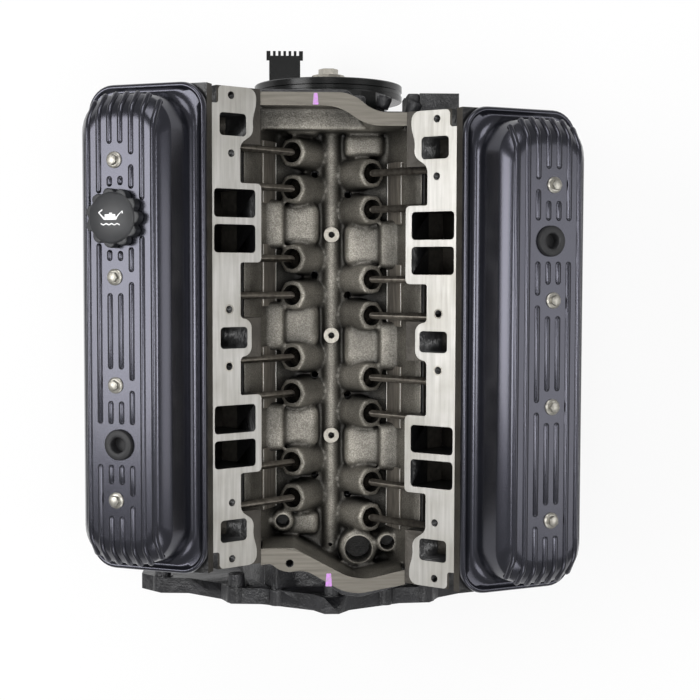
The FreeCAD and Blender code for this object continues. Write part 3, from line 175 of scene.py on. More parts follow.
def mottle(tree, place, scale, low, high, start=0.35, end=0.65, detail=4):
    """A noise pattern between two colours."""
    noise = add(tree, "TexNoise", {"Vector": place, "Scale": scale, "Detail": detail})
    ramp = add(tree, "ValToRGB", {"Fac": noise.outputs["Fac"]})
    ramp.color_ramp.elements[0].position = start
    ramp.color_ramp.elements[1].position = end
    ramp.color_ramp.elements[0].color = linear(low)
    ramp.color_ramp.elements[1].color = linear(high)
    return ramp.outputs["Color"]


def mottled(name, low, high, scale, rough, metal=0.0, **more):
    """A surface whose colour wanders between two tones."""
    material, tree, place, shader = principled(name, low, rough, metal, **more)
    tree.links.new(mottle(tree, place, scale, low, high, 0.3, 0.7), shader.inputs["Base Color"])
    return material, tree, place, shader


def relief(tree, place, shader, scale, depth, detail=3, before=None):
    """A bump on the surface from noise: its scale is features per metre, its depth is in metres."""
    noise = add(tree, "TexNoise", {"Vector": place, "Scale": scale, "Detail": detail})
    inputs = {"Height": noise.outputs["Fac"], "Distance": depth, "Strength": 1.0}
    if before:
        inputs["Normal"] = before.outputs["Normal"]
    bump = add(tree, "Bump", inputs)
    tree.links.new(bump.outputs["Normal"], shader.inputs["Normal"])
    return bump


def finish_piece(name, shape, materials, body="long_block", sharp=38):
    """A piece from a bmesh, with its materials, riding on a body."""
    bmesh.ops.remove_doubles(shape, verts=shape.verts, dist=1e-6)
    bmesh.ops.recalc_face_normals(shape, faces=shape.faces)
    mesh = bpy.data.meshes.new(name)
    shape.to_mesh(mesh)
    shape.free()
    piece = bpy.data.objects.new(name, mesh)
    bpy.context.scene.collection.objects.link(piece)
    for material in materials:
        mesh.materials.append(material)
    mesh.shade_smooth()
    mesh.set_sharp_from_angle(angle=math.radians(sharp))
    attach(piece, body)
    return piece


def bar(shape, start, end, low, high=None, sides=24, frame_here=MM):
    """A round bar or taper between two points."""
    start, end = Vector(start), Vector(end)
    turn = (end - start).to_track_quat("Z", "Y").to_matrix().to_4x4()
    place = frame_here @ Matrix.Translation((start + end) / 2) @ turn
    bmesh.ops.create_cone(shape, cap_ends=True, segments=sides, radius1=low,
                          radius2=low if high is None else high, depth=(end - start).length, matrix=place)


def brick(shape, x, y, z, rounding=0.0, frame_here=MM):
    """A block between two places on each axis, with its edges rounded."""
    middle = Vector((sum(x) / 2, sum(y) / 2, sum(z) / 2))
    size = (x[1] - x[0], y[1] - y[0], z[1] - z[0])
    place = frame_here @ Matrix.Translation(middle) @ Matrix.Diagonal((*size, 1))
    made = bmesh.ops.create_cube(shape, size=1, matrix=place)
    if rounding:
        edges = {edge for vert in made["verts"] for edge in vert.link_edges}
        bmesh.ops.bevel(shape, geom=list(edges), offset=rounding * 0.001, affect="EDGES", segments=3,
                        profile=0.5, material=-1)


def settled(piece):
    """The piece's mesh with its modifiers applied, and the piece itself taken away."""
    graph = bpy.context.evaluated_depsgraph_get()
    graph.update()
    mesh = bpy.data.meshes.new_from_object(piece.evaluated_get(graph))
    bpy.data.objects.remove(piece)
    return mesh


def loose(name, shape):
    """An object that only helps to make a piece."""
    mesh = bpy.data.meshes.new(name)
    shape.to_mesh(mesh)
    shape.free()
    piece = bpy.data.objects.new(name, mesh)
    bpy.context.scene.collection.objects.link(piece)
    return piece


def cut_with(piece, tool, operation="DIFFERENCE"):
    """Cuts a piece with another, or keeps what the two share."""
    cut = piece.modifiers.new("cut", "BOOLEAN")
    cut.operation = operation
    cut.solver = "EXACT"
    cut.object = tool


def merged_copy(node_name):
    """A copy of a CAD node's mesh with its corners joined."""
    shape = bmesh.new()
    shape.from_mesh(nodes[node_name].data)
    bmesh.ops.remove_doubles(shape, verts=shape.verts, dist=1e-6)
    return shape


# Sand-cast grey iron, bare: brown-grey, with grains of about 1 mm that glint. Its colour also holds painted
# light: lighter on convex edges and crests as painted highlight, and darker in creases and recesses as
# painted shade.
raw_iron, tree, place, shader = principled("sand_cast_iron", "857f77", 0.4, 0.5)
tone = mottle(tree, place, 22, "75726b", "a39f96", 0.35, 0.65)
grain = mottle(tree, place, 800, "aeaba6", "ffffff", 0.4, 0.65, 2)
mixed = add(tree, "Mix", {"Factor": 0.8, "A": tone, "B": grain}, data_type="RGBA", blend_type="MULTIPLY")
# Painted highlight on convex edges and crests, and painted shade in creases, from the mesh's pointiness.
painted_crest_light_and_crease_shade = add(tree, "MapRange", {"Value": add(tree, "NewGeometry").outputs["Pointiness"], "From Min": 0.44,
                               "From Max": 0.56, "To Min": 0.2, "To Max": 1.9})
# Painted shade in recesses, from ambient occlusion within 3 cm.
occlusion_shade = add(tree, "AmbientOcclusion", {"Distance": 0.03}).outputs["AO"]
painted_recess_shade = add(tree, "Math", {0: occlusion_shade, 1: 1.6}, operation="POWER")
painted_light_and_shade = add(tree, "Math", {0: painted_crest_light_and_crease_shade.outputs[0], 1: painted_recess_shade.outputs[0]}, operation="MULTIPLY")
iron_with_painted_light = add(tree, "VectorMath", {0: mixed.outputs["Result"], "Scale": painted_light_and_shade.outputs[0]}, operation="SCALE")
tree.links.new(iron_with_painted_light.outputs[0], shader.inputs["Base Color"])
coarse = relief(tree, place, shader, 90, 0.0010)
relief(tree, place, shader, 800, 0.0005, 2, coarse)

# The same iron where a cutter has passed: flat, dull and striped along the engine.
wall_iron, tree, place, shader = principled("machined_wall", "7a756c", 0.4, 0.6)
along_bank = add(tree, "Mapping", {"Vector": place, "Scale": (1, 0.1, 1)}).outputs[0]
tint = mottle(tree, along_bank, 320, "6c6760", "938c82", 0.3, 0.7)
tree.links.new(tint, shader.inputs["Base Color"])
relief(tree, along_bank, shader, 500, 0.0002, 2)

# Iron bored or spot-faced on a small seat: brighter than the cast skin, dulled by oil.
seat_iron = mottled("spot_faced_seat", "7f7b73", "9c988f", 400, 0.4, 0.6)[0]

# Face-milled iron: pale, with faint tool marks along its length and stains of oil.
milled_iron, tree, place, shader = principled("milled_iron", "bdbbb8", 0.38, 0.6)
stretch = add(tree, "Mapping", {"Vector": place, "Scale": (1, 0.06, 1)}).outputs[0]
streak = mottle(tree, stretch, 260, "a6a49f", "bdbbb7", 0.3, 0.7)
stain = mottle(tree, place, 22, "cfccc2", "ffffff", 0.25, 0.6)
mixed = add(tree, "Mix", {"Factor": 0.6, "A": streak, "B": stain}, data_type="RGBA", blend_type="MULTIPLY")
tree.links.new(mixed.outputs["Result"], shader.inputs["Base Color"])
relief(tree, stretch, shader, 500, 0.00008, 2)

# Black paint sprayed over rough casting.
casting_paint, tree, place, shader = mottled("black_paint_on_casting", "151517", "29292c", 60, 0.36)
coarse = relief(tree, place, shader, 90, 0.0012)
relief(tree, place, shader, 420, 0.0006, 3, coarse)

# The middle lines of the two end walls, across the engine: bare iron inside them, paint outside.
FRONT_WALL = ((-96, -546.5), (-40, -546.5), (-14, -567), (96, -567))
REAR_WALL = ((-96, -64), (-75, -61.5), (-21, -49.5), (38, -82), (96, -86))
VALLEY = ((-96, 96), (-583, -30), (140, 262))
CAST_GRAIN = 0.0019
CAST_SHARE = 0.55


def along(points, across):
    """The height of a line of points at a place between two of them."""
    for (left, low), (right, high) in zip(points, points[1:]):
        if left <= across <= right:
            return low + (high - low) * (across - left) / (right - left)
    return points[0][1] if across < points[0][0] else points[-1][1]


shape = bmesh.new()
brick(shape, *VALLEY)
valley_room = loose("valley_room", shape)
valley_cast = loose("valley_cast", merged_copy("cylinder_block"))
cut_with(valley_cast, valley_room, "INTERSECT")
valley_mesh = settled(valley_cast)
outer_cast = loose("outer_cast", merged_copy("cylinder_block"))
cut_with(outer_cast, valley_room)
shape = bmesh.new()
shape.from_mesh(settled(outer_cast))
bpy.data.objects.remove(valley_room)
SIDE_BOSSES = ((-222, 52), (-120, 30), (-40, 46), (52, 30), (128, 46), (214, 52))
MIDDLE_MM = MIDDLE * 1000
for side in (-1, 1):
    for y_place, z_place in SIDE_BOSSES:
        y_place += MIDDLE_MM
        bar(shape, (side * 90, y_place, z_place), (side * 116, y_place, z_place), 13, 11)
BELL_DEPTHS = (-44, -30, -12)
BELL_BOSSES = ((196, 86, 9), (107, 144, 9), (60, 160, 7), (0, 189, 8))
for x_place, z_place, radius in BELL_BOSSES:
    for side in (1, -1) if x_place else (1,):
        front, face, rear = (Vector((side * x_place, y_place, z_place)) for y_place in BELL_DEPTHS)
        bar(shape, front, rear, radius, radius + 1.5)
        bar(shape, face, rear, radius + 3, radius + 3)
outer_block = finish_piece("block_outside", shape, [casting_paint], sharp=30)
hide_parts("cylinder_block")


def turned(shape, profile, place, steps=40):
    """A ring or disc spun from its profile, given as pairs of radius and height."""
    part = bmesh.new()
    verts = [part.verts.new((radius, 0, height)) for radius, height in profile]
    edges = [part.edges.new(pair) for pair in zip(verts, verts[1:])]
    bmesh.ops.spin(part, geom=verts + edges, cent=(0, 0, 0), axis=(0, 0, 1), angle=2 * math.pi,
                   steps=steps, use_merge=True)
    bmesh.ops.transform(part, matrix=place, verts=part.verts)
    mesh = bpy.data.meshes.new("turned")
    part.to_mesh(mesh)
    part.free()
    shape.from_mesh(mesh)


LIFTER_LEAN = Vector((math.sin(LIFTER_TILT), 0, math.cos(LIFTER_TILT)))
LIFTER_BOSS = (LIFTER_LEAN * 42, LIFTER_LEAN * 83)
LIFTER_HOLE = (LIFTER_LEAN * 50, LIFTER_LEAN * 110)
PAD_PLACES = (-111.76, 0, 111.76)
OPEN_PLACES = (-167.64, -55.88, 55.88, 167.64)
RIB_TOP = 166.0
SEAT_BORE, DRAIN_BORE, LIFTER_BORE = 3.2, 4.4, 11.2
DRAIN_LINE = 18.5
DISTRIBUTOR, SENDER, BREATHER = (-30, -79), (-62, -87), (54, -111)
REAR_BORES = ((DISTRIBUTOR, 15, 182.3), (SENDER, 8, 186.2), (BREATHER, 7.5, 184.2))
REAR_DRILLS = ((DISTRIBUTOR, 15, 150, 210), (SENDER, 8, 160, 210), (BREATHER, 7.5, 160, 200),
               ((0.8, -81), 2.2, 150, 200))

# Masses of iron under the remeshed skin: lifter bosses, pads between them, the rib and the rear bosses.
shape = bmesh.new()
shape.from_mesh(valley_mesh)
bmesh.ops.remove_doubles(shape, verts=shape.verts, dist=1e-6)
for bank in BANKS.values():
    for y_place in VALVE_PLACES:
        center = Vector((0, y_place, CAM_HEIGHT))
        bar(shape, center + LIFTER_BOSS[0], center + LIFTER_BOSS[1], 18.5, 16, 32, bank)
        bar(shape, (8, y_place, 150), (42, y_place, 171), 11, 15, 24, bank)
    for y_place in PAD_PLACES:
        brick(shape, (14, 58), (y_place - 23, y_place + 23), (140, 178), 9, bank)
        brick(shape, (52, 84), (y_place - 26, y_place + 26), (140, 187), 6, bank)
    for y_place in (-221, 221):
        brick(shape, (14, 58), (y_place - 13, y_place + 13), (140, 176), 7, bank)
bar(shape, (0, -560, RIB_TOP - 10), (0, -62, RIB_TOP - 10), 10, sides=24)
brick(shape, (14, 52), (-558, -536), (150, 190), 8)
bar(shape, (*DISTRIBUTOR, 140), (*DISTRIBUTOR, 182), 24, 18.5, 40)
bar(shape, (*SENDER, 150), (*SENDER, 186), 15, 11.5, 24)
bar(shape, (*BREATHER, 150), (*BREATHER, 184), 16, 12, 24)
bar(shape, (*DISTRIBUTOR, 140), (-48, -84, 168), 18, 14, 24)
for side in (-1, 1):
    for x_place, y_place, z_place in ((95, -572, 180), (60, -578, 186)):
        start, end = (side * x_place * 0.96, y_place, z_place), (side * x_place * 0.9, y_place + 14, z_place)
        bar(shape, start, end, 9, 7, 20)
valley_cast = loose("valley_cast", shape)
grid = valley_cast.modifiers.new("grid", "REMESH")
grid.mode = "VOXEL"
grid.voxel_size = CAST_GRAIN
soft = valley_cast.modifiers.new("soft", "SMOOTH")
soft.factor = 0.5
soft.iterations = 6
drill = bmesh.new()
for (x_place, y_place), radius, start, end in REAR_DRILLS:
    bar(drill, (x_place, y_place, start), (x_place, y_place, end), radius, sides=40)
for y_place in PAD_PLACES:
    bar(drill, (0, MIDDLE_MM + y_place, 150), (0, MIDDLE_MM + y_place, 200), SEAT_BORE, sides=24)
for bank in BANKS.values():
    for y_place in OPEN_PLACES:
        drain = (DRAIN_LINE, y_place)
        bar(drill, (*drain, 130), (*drain, 200), DRAIN_BORE, sides=24, frame_here=bank)
    for y_place in VALVE_PLACES:
        center = Vector((0, y_place, CAM_HEIGHT))
        bar(drill, center + LIFTER_HOLE[0], center + LIFTER_HOLE[1], LIFTER_BORE, sides=32, frame_here=bank)
drill_tool = loose("valley_drill", drill)
cut_with(valley_cast, drill_tool)
fewer = valley_cast.modifiers.new("fewer", "DECIMATE")
fewer.ratio = CAST_SHARE
shape = bmesh.new()
shape.from_mesh(settled(valley_cast))
bpy.data.objects.remove(drill_tool)
for face in shape.faces:
    center = face.calc_center_median() * 1000
    face.material_index = int(center.y < along(FRONT_WALL, center.x) or center.y > along(REAR_WALL, center.x))
valley = finish_piece("valley_casting", shape, [raw_iron, casting_paint], sharp=60)
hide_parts("cylinder_block")

# The lifter retainer's three seats on the rib, and the rims of the bores at the rear, all machined.
shape = bmesh.new()
for y_place in PAD_PLACES:
    turned(shape, [(SEAT_BORE, RIB_TOP - 6), (SEAT_BORE, RIB_TOP), (SEAT_BORE + 0.4, RIB_TOP + 0.5),
                   (8.5, RIB_TOP + 0.5), (8.9, RIB_TOP - 0.2), (8.9, RIB_TOP - 6)],
           MM @ Matrix.Translation((0, MIDDLE_MM + y_place, 0)))
for (x_place, y_place), radius, level in REAR_BORES:
    turned(shape, [(radius, level - 12), (radius, level - 1), (radius + 0.7, level + 0.2),
                   (radius + 1.4, level + 0.1), (radius + 1.6, level - 2)],
           MM @ Matrix.Translation((x_place, y_place, 0)), 56)
finish_piece("valley_seats", shape, [seat_iron], sharp=30)

# The strips of machined wall that show through the pushrods' windows, with their bright edges.
WALL = Matrix.Translation((62, 0, 170)) @ Matrix.Rotation(math.radians(-61.7), 4, "Y")
strips, lines = bmesh.new(), bmesh.new()
for bank in BANKS.values():
    place = bank @ WALL
    for y_place in OPEN_PLACES:
        brick(strips, (1, 30), (y_place - 34, y_place + 34), (-1, 1.4), 0.5, place)
        for up in (1.6, 29.4):
            bar(lines, (up, y_place - 33, 1.3), (up, y_place + 33, 1.3), 0.55, sides=10, frame_here=place)
finish_piece("bank_wall_strips", strips, [wall_iron], sharp=30)
finish_piece("bank_wall_edges", lines, [milled_iron], sharp=30)

# ---- end walls of the valley ----
# The block's front and rear walls, face-milled on top for the intake manifold's end seals.
# Each is a thin plate laid on the wall's top, with a dab of the assembler's marking paint.

WALL_TOP = 246.0
PLATE = 0.6
FRONT_TOP = [(77, -574, 1), (77, -560, 1), (-8, -560, 16), (-32, -539.5, 16), (-77, -539.5, 1),
             (-77, -553.5, 1), (-42, -553.5, 14), (-20, -574, 14)]
REAR_TOP = [(77, -93, 1), (77, -75, 1), (66, -77, 4), (56, -68, 8), (38, -68, 8), (30, -70, 8),
            (-18, -42, 16), (-77, -53.5, 1), (-77, -69.5, 1), (-26, -57, 18), (41, -93, 14)]
EAR_HOLE = [(50.2, -81.2, 4.1), (50.2, -72.8, 4.1), (41.8, -72.8, 4.1), (41.8, -81.2, 4.1)]
ARC = 0.5523


def outline(curve, corners):
    """Adds a closed outline of straight lines to a flat curve: each corner has a place and a radius."""
    spline = curve.splines.new("BEZIER")
    spline.bezier_points.add(2 * len(corners) - 1)
    spline.use_cyclic_u = True
    for index, (across, up, radius) in enumerate(corners):
        corner = Vector((across, up, 0))
        before = Vector((*corners[index - 1][:2], 0))
        after = Vector((*corners[(index + 1) % len(corners)][:2], 0))
        enter = corner + (before - corner).normalized() * radius
        leave = corner + (after - corner).normalized() * radius
        for place, point, handles in ((0, enter, ("VECTOR", "FREE")), (1, leave, ("FREE", "VECTOR"))):
            knot = spline.bezier_points[2 * index + place]
            knot.co = point
            knot.handle_left_type, knot.handle_right_type = handles
            knot.handle_left = knot.handle_right = point + (corner - point) * ARC


def from_curve(curve, place):
    """A bmesh from a curve, put in its place."""
    drawn = bpy.data.objects.new("drawn", curve)
    bpy.context.scene.collection.objects.link(drawn)
    shape = bmesh.new()
    shape.from_mesh(settled(drawn))
    bmesh.ops.transform(shape, matrix=place, verts=shape.verts)
    return shape


def flat_plate(outlines, thick, place, edge=0.0):
    """A flat plate whose first outline is its edge and whose others are its holes, as a bmesh."""
    curve = bpy.data.curves.new("flat", "CURVE")
    curve.dimensions = "2D"
    curve.fill_mode = "BOTH"
    curve.resolution_u = 5
    curve.extrude = thick / 2 - edge
    curve.bevel_depth = edge
    curve.bevel_resolution = 1
    curve.offset = -edge
    for corners in outlines:
        outline(curve, corners)
    return from_curve(curve, place @ Matrix.Translation((0, 0, thick / 2)))


# Magenta marking paint, thin and streaky.
mark_paint, tree, place, shader = principled("marking_paint", "b884c8", 0.5)
tint = mottle(tree, place, 300, "a890ad", "c583d6", 0.35, 0.6)
tree.links.new(tint, shader.inputs["Base Color"])

# The block's milled tops, darker and oilier than the heads' faces.
wall_top_iron, tree, place, shader = principled("milled_block_top", "77726a", 0.42, 0.6)
stretch = add(tree, "Mapping", {"Vector": place, "Scale": (0.06, 1, 1)}).outputs[0]
tint = mottle(tree, stretch, 320, "5f5b54", "736f67", 0.3, 0.7)
tree.links.new(tint, shader.inputs["Base Color"])
relief(tree, stretch, shader, 500, 0.0001, 2)

for name, outlines, mark in (("front_wall_top", [FRONT_TOP], (17, 21, -573, -561)),
                             ("rear_wall_top", [REAR_TOP, EAR_HOLE], (2, 7, -66, -52))):
    shape = flat_plate(outlines, PLATE, MM @ Matrix.Translation((0, 0, WALL_TOP)), 0.15)
    finish_piece(name, shape, [wall_top_iron], sharp=20)
    left, right, front, rear = mark
    dab = [(left, front, 1), (right, front, 1), (right + 1, rear, 1), (left - 1, rear, 1)]
    shape = flat_plate([dab], 0.1, MM @ Matrix.Translation((0, 0, WALL_TOP + PLATE)))
    finish_piece(f"{name}_mark", shape, [mark_paint])


# ---- cylinder heads ----
# Grey iron heads, bare towards the valley and black on their outer sides. Each has a milled
# intake face: a plate with the rounded mouths of the ports, over the CAD head's own passages.

FACE = Matrix.Rotation(math.radians(-35), 4, "Y")
FACE_LEVEL = 160.0

# One iron for the head: bare where it looks towards the valley, black paint where it looks out. The bare iron
# is coloured far darker than the block's as painted shade, so the head's faces in the windows and recesses
# read as shadowed.
head_iron, tree = blank("head_casting")
place = add(tree, "TexCoord").outputs["Object"]
side = add(tree, "SeparateXYZ", {"Vector": place})
facing = add(tree, "SeparateXYZ", {"Vector": add(tree, "NewGeometry").outputs["True Normal"]})
inward = add(tree, "Math", {0: side.outputs["X"], 1: facing.outputs["X"]}, operation="MULTIPLY")
painted = add(tree, "Math", {0: inward.outputs[0], 1: -0.02}, operation="GREATER_THAN")
shaded_bare_iron = add(tree, "BsdfPrincipled", {"Roughness": 0.5, "Metallic": 0.45})
# Painted shade: the bare iron's tones are dark, darker than the block's bare iron.
tone = mottle(tree, place, 30, "34312d", "4a4640", 0.3, 0.7)
tree.links.new(tone, shaded_bare_iron.inputs["Base Color"])
relief(tree, place, shaded_bare_iron, 300, 0.0006)
black = add(tree, "BsdfPrincipled", {"Base Color": linear("121213"), "Roughness": 0.34})
relief(tree, place, black, 120, 0.0012)
pick = add(tree, "MixShader", {0: painted.outputs[0], 1: shaded_bare_iron.outputs[0], 2: black.outputs[0]})
add(tree, "OutputMaterial", {"Surface": pick.outputs[0]})

# Steel and fibre head gasket, seen only at its edge.
gasket_fibre, tree, place, shader = mottled("gasket_fibre", "2b2926", "403d38", 200, 0.5, 0.4)
relief(tree, place, shader, 800, 0.00008)

# Zinc-plated steel: cup plugs, bolts, the drain plug and the oil pickup.
zinc = mottled("zinc_plate", "8c8981", "b5b2aa", 260, 0.36, 0.8)[0]


def paint(material, *names):
    """Gives CAD nodes one material."""
    for name in names:
        nodes[name].data.materials.clear()
        nodes[name].data.materials.append(material)


STEM = Matrix.Rotation(math.radians(22), 4, "Y")
RAIL = 324.5
CORNER_DEPTH = 40
RAIL_CORNER = [(109, 251, 0.1), (140, 251, 0.1), (140, 220, 0.1), (138, 220, 0.1), (138, 249, 28),
               (109, 249, 0.1)]
for bank_name, bank in BANKS.items():
    head = loose("head", merged_copy(f"cylinder_head_{bank_name}"))
    cutters = []
    for side in (-1, 1):
        place = bank @ STEM @ Matrix.Translation((0, 0, RAIL - 37)) @ Matrix.Scale(side, 4, (0, 1, 0))
        corner = flat_plate([RAIL_CORNER], CORNER_DEPTH, place)
        bmesh.ops.recalc_face_normals(corner, faces=corner.faces)
        cutters.append(loose("corner", corner))
        cut_with(head, cutters[-1])
    shape = bmesh.new()
    shape.from_mesh(settled(head))
    for cutter in cutters:
        bpy.data.objects.remove(cutter)
    head = finish_piece(f"head_casting_{bank_name}", shape, [head_iron], sharp=30)
    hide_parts(f"cylinder_head_{bank_name}")
paint(gasket_fibre, "head_gaskets")
paint(zinc, "core_plugs")


def panel(x, y_half, radius, y_middle=0.0):
    """The outline of a rectangle with rounded corners."""
    near, far = y_middle - y_half, y_middle + y_half
    return [(x[0], near, radius), (x[1], near, radius), (x[1], far, radius), (x[0], far, radius)]


def opening(x_place, y_place, height, width, radius):
    """The outline of a port's mouth about its middle."""
    return panel((x_place - height / 2, x_place + height / 2), width / 2, radius, y_place)


def drilled(x_place, y_place, radius):
    """The outline of a round hole, its corners a hair short of meeting."""
    return opening(x_place, y_place, 2 * radius, 2 * radius, radius * 0.98)


LOW, HIGH, WINDOW = 204.8, 268.2, 230.6
FACE_EDGE = [
    (HIGH, -231, 0.5), (257, -231, 3), (257, -249, 5), (211, -249, 10), (211, -228, 8), (217, -217, 9),
    (213, -203, 8), (WINDOW, -191, 5), (WINDOW, -151, 2.5), (LOW, -151, 5), (LOW, -69, 5), (WINDOW, -69, 2.5),
    (WINDOW, -11.5, 4), (217, -9, 8), (217, 27, 8), (WINDOW, 29.5, 4), (WINDOW, 69, 2.5), (LOW, 69, 5),
    (LOW, 151, 5), (WINDOW, 151, 2.5), (WINDOW, 191, 5), (213, 203, 8), (217, 217, 9), (211, 228, 8),
    (211, 249, 10), (257, 249, 5), (257, 231, 3), (HIGH, 231, 0.5)]
FACE_HOLES = [opening(237.3, end * 111.76 + half * 18.2, 50.3, 29, 4) for end in (-1, 1) for half in (-1, 1)]
FACE_HOLES += [opening(239.5, end * 210.3, 32.2, 23.1, 4) for end in (-1, 1)]
FACE_HOLES += [opening(238.6, 9, 32.8, 22.2, 4)]
BOLT_HOLES = [(241.6, -239.8), (241.6, -180.8), (241.6, 180.8), (241.6, 239.8), (244.5, -20.5), (244.5, 38.5)]
FACE_HOLES += [drilled(x_place, y_place, 3.9) for x_place, y_place in BOLT_HOLES]
for bank_name, bank in BANKS.items():
    place = bank @ FACE @ Matrix.Translation((0, 0, FACE_LEVEL))
    shape = flat_plate([FACE_EDGE] + FACE_HOLES, 0.7, place, 0.2)
    finish_piece(f"intake_face_{bank_name}", shape, [milled_iron], sharp=20)
    rings = bmesh.new()
    for x_place, y_place in BOLT_HOLES[4:]:
        spot = Matrix.Translation((x_place, y_place, 0.75))
        ring = bmesh.ops.create_circle(rings, segments=40, radius=5.2, matrix=place @ spot)
        rim = {edge for vert in ring["verts"] for edge in vert.link_edges}
        made = bmesh.ops.extrude_edge_only(rings, edges=list(rim))
        inner_verts = [item for item in made["geom"] if isinstance(item, bmesh.types.BMVert)]
        center = (place @ spot).translation
        bmesh.ops.scale(rings, vec=(0.82, 0.82, 0.82), space=Matrix.Translation(-center), verts=inner_verts)
    bmesh.ops.solidify(rings, geom=rings.faces, thickness=0.0002)
    finish_piece(f"face_hole_rings_{bank_name}", rings, [raw_iron])


# ---- valve gear ----
# Hollow steel pushrods with ball ends stand in roller lifters, which slide in the block's bores.
# The valves, springs, studs and rockers under the covers keep their CAD shapes in ground steel.

PUSHROD_TILT = math.radians(47.2)
PUSHROD_LEAN = Vector((math.sin(PUSHROD_TILT), 0, math.cos(PUSHROD_TILT)))
PUSHROD_REACH, BALL_LENGTH = 176, 3
PUSHROD_RADIUS, BALL_RADIUS, LIFTER_RADIUS = 3.9, 2.4, 10.5
LIFTER_TOP = 87.3

# Ground and hardened steel, oiled: a dull grey.
ground_steel = mottled("ground_steel", "706a63", "7f7971", 120, 0.35, 0.85)[0]

# Tumbled steel tube with a thin brown oxide.
tube_steel = mottled("pushrod_tube", "57524b", "7f7970", 180, 0.42, 0.7)[0]

# The lifters' steel, blacked and wet with oil.
dark_steel = mottled("blacked_steel", "1d1b18", "2e2b27", 120, 0.3, 0.8)[0]

paint(ground_steel, "valves", "valve_springs", "rocker_studs", "rocker_arms")
rods, buckets = bmesh.new(), bmesh.new()
for bank in BANKS.values():
    for y_place in VALVE_PLACES:
        seat = Vector((0, y_place, CAM_HEIGHT)) + LIFTER_LEAN * LIFTER_TOP
        start, end = seat - PUSHROD_LEAN * 4, seat + PUSHROD_LEAN * PUSHROD_REACH
        ball = PUSHROD_LEAN * BALL_LENGTH
        bar(rods, start, start + ball, BALL_RADIUS, PUSHROD_RADIUS, 20, bank)
        bar(rods, start + ball, end - ball, PUSHROD_RADIUS, PUSHROD_RADIUS, 20, bank)
        bar(rods, end - ball, end, PUSHROD_RADIUS, BALL_RADIUS, 20, bank)
        foot, neck, rim, cup = (seat - LIFTER_LEAN * depth for depth in (62, 14, 12.5, 10))
        bar(buckets, foot, neck, LIFTER_RADIUS, LIFTER_RADIUS, 28, bank)
        bar(buckets, neck, rim, LIFTER_RADIUS, LIFTER_RADIUS - 0.9, 28, bank)
        bar(buckets, rim, cup, 5.5, 5.0, 28, bank)
pushrods = finish_piece("pushrod_tubes", rods, [tube_steel])
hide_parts("pushrods")
lifters = finish_piece("roller_lifters", buckets, [dark_steel])
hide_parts("lifters")


# ---- valve covers ----
# Pressed steel lids with a beaded rim, a domed body with a wide bevel, and seven rounded ribs
# stamped along the top. They are stoved satin black and sit on moulded rubber gaskets.

GASKET = 2.0
LID = RAIL + GASKET
DOME_TOP = 55.0
COVER_RINGS = (
    ((6.8, 139.6), 250.0, 28, 0.2), ((6.6, 139.8), 250.25, 28, 1.2), ((7.0, 139.4), 249.8, 27.6, 3.6),
    ((8.0, 138.4), 248.8, 26.6, 5.4), ((9.8, 136.6), 247.0, 24.8, 6.0), ((11.6, 134.8), 245.2, 23, 5.4),
    ((12.8, 133.6), 244.0, 22, 3.4), ((16.0, 131.6), 241.6, 26, 2.8), ((19.6, 130.0), 240.2, 32, 3.4),
    ((22.4, 128.2), 238.4, 36, 6.0), ((24.0, 127.0), 237.0, 38, 11.0), ((25.6, 125.6), 234.8, 37, 40.0),
    ((26.6, 124.6), 233.6, 36, 42.6), ((34.0, 117.2), 220.5, 30, 53.2), ((36.4, 114.8), 214.5, 28, 54.8),
    ((40.0, 111.2), 208.0, 24, 55.0))
CORNER_STEPS = 9
RIB_PLACES = [75 + step * 12 for step in (-3, -2, -1, 0, 1, 2, 3)]
COVER_BOLT_PLACES = (-169.0, -53.7, 53.7, 169.0)
COVER_BOLT_LINE = 81.4
RIB_RADIUS = 3.3
RIB_SINK = 1.1
CAP_PLACE = (78.0, -111.76)
CAP_EDGE, CAP_ROOM = 28, 32
GROMMET_PLACE = (77.5, 113.0)
GROMMET_ROOM = 20
BOLT_ROOM = {63: 4.5, 75: 15.5, 87: 15.5}
GROMMET_RIBS = (63, 75, 87, 99)
RIB_END = ((0.0, 0.15), (0.7, 0.65), (2.0, 0.92), (3.3, 1.0))
DOME_RINGS = COVER_RINGS[11:]

# Stoved black enamel on pressed steel: satin, a little blue-grey in the highlights.
cover_paint, tree, place, shader = mottled("satin_black_enamel", "0d0e11", "131418", 40, 0.24, 0.0, **{
    "Specular IOR Level": 0.7, "Specular Tint": linear("e8e8ff"), "Coat Weight": 0.25,
    "Coat Roughness": 0.15})
relief(tree, place, shader, 700, 0.00006, 2)

# Moulded black rubber.
rubber, tree, place, shader = mottled("moulded_rubber", "161617", "222224", 120, 0.55)
relief(tree, place, shader, 600, 0.00008)
GASKET_BAND = [panel((8.2, 137.8), 248.8, 26), panel((21, 125), 236, 18)]
for bank_name, bank in BANKS.items():
    shape = flat_plate(GASKET_BAND, GASKET, bank @ STEM @ Matrix.Translation((0, 0, RAIL)))
    gasket = finish_piece(f"cover_gasket_{bank_name}", shape, [rubber], sharp=20)
    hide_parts("valve_cover_gaskets")


def rounded_ring(shape, x, y_half, radius, level):
    """The edge loop of a rectangle with rounded corners, as its edges."""
    size = Matrix.Diagonal(((x[1] - x[0]) / 2, y_half, 1, 1))
    made = bmesh.ops.create_grid(shape, x_segments=1, y_segments=1, size=1,
                                 matrix=Matrix.Translation((sum(x) / 2, 0, level)) @ size)
    bmesh.ops.bevel(shape, geom=made["verts"], offset=radius, affect="VERTICES", segments=CORNER_STEPS,
                    profile=0.5, material=-1)
    shape.faces.ensure_lookup_table()
    edges = list(shape.faces[0].edges)
    bmesh.ops.delete(shape, geom=[shape.faces[0]], context="FACES_ONLY")
    return edges


def reach(ring, across):
    """How far a rounded ring goes along the engine at a place across it."""
    x, y_half, radius, _ = ring
    inset = max(x[0] + radius - across, across - (x[1] - radius), 0)
    return y_half - radius + math.sqrt(radius ** 2 - inset ** 2) if inset < radius else None


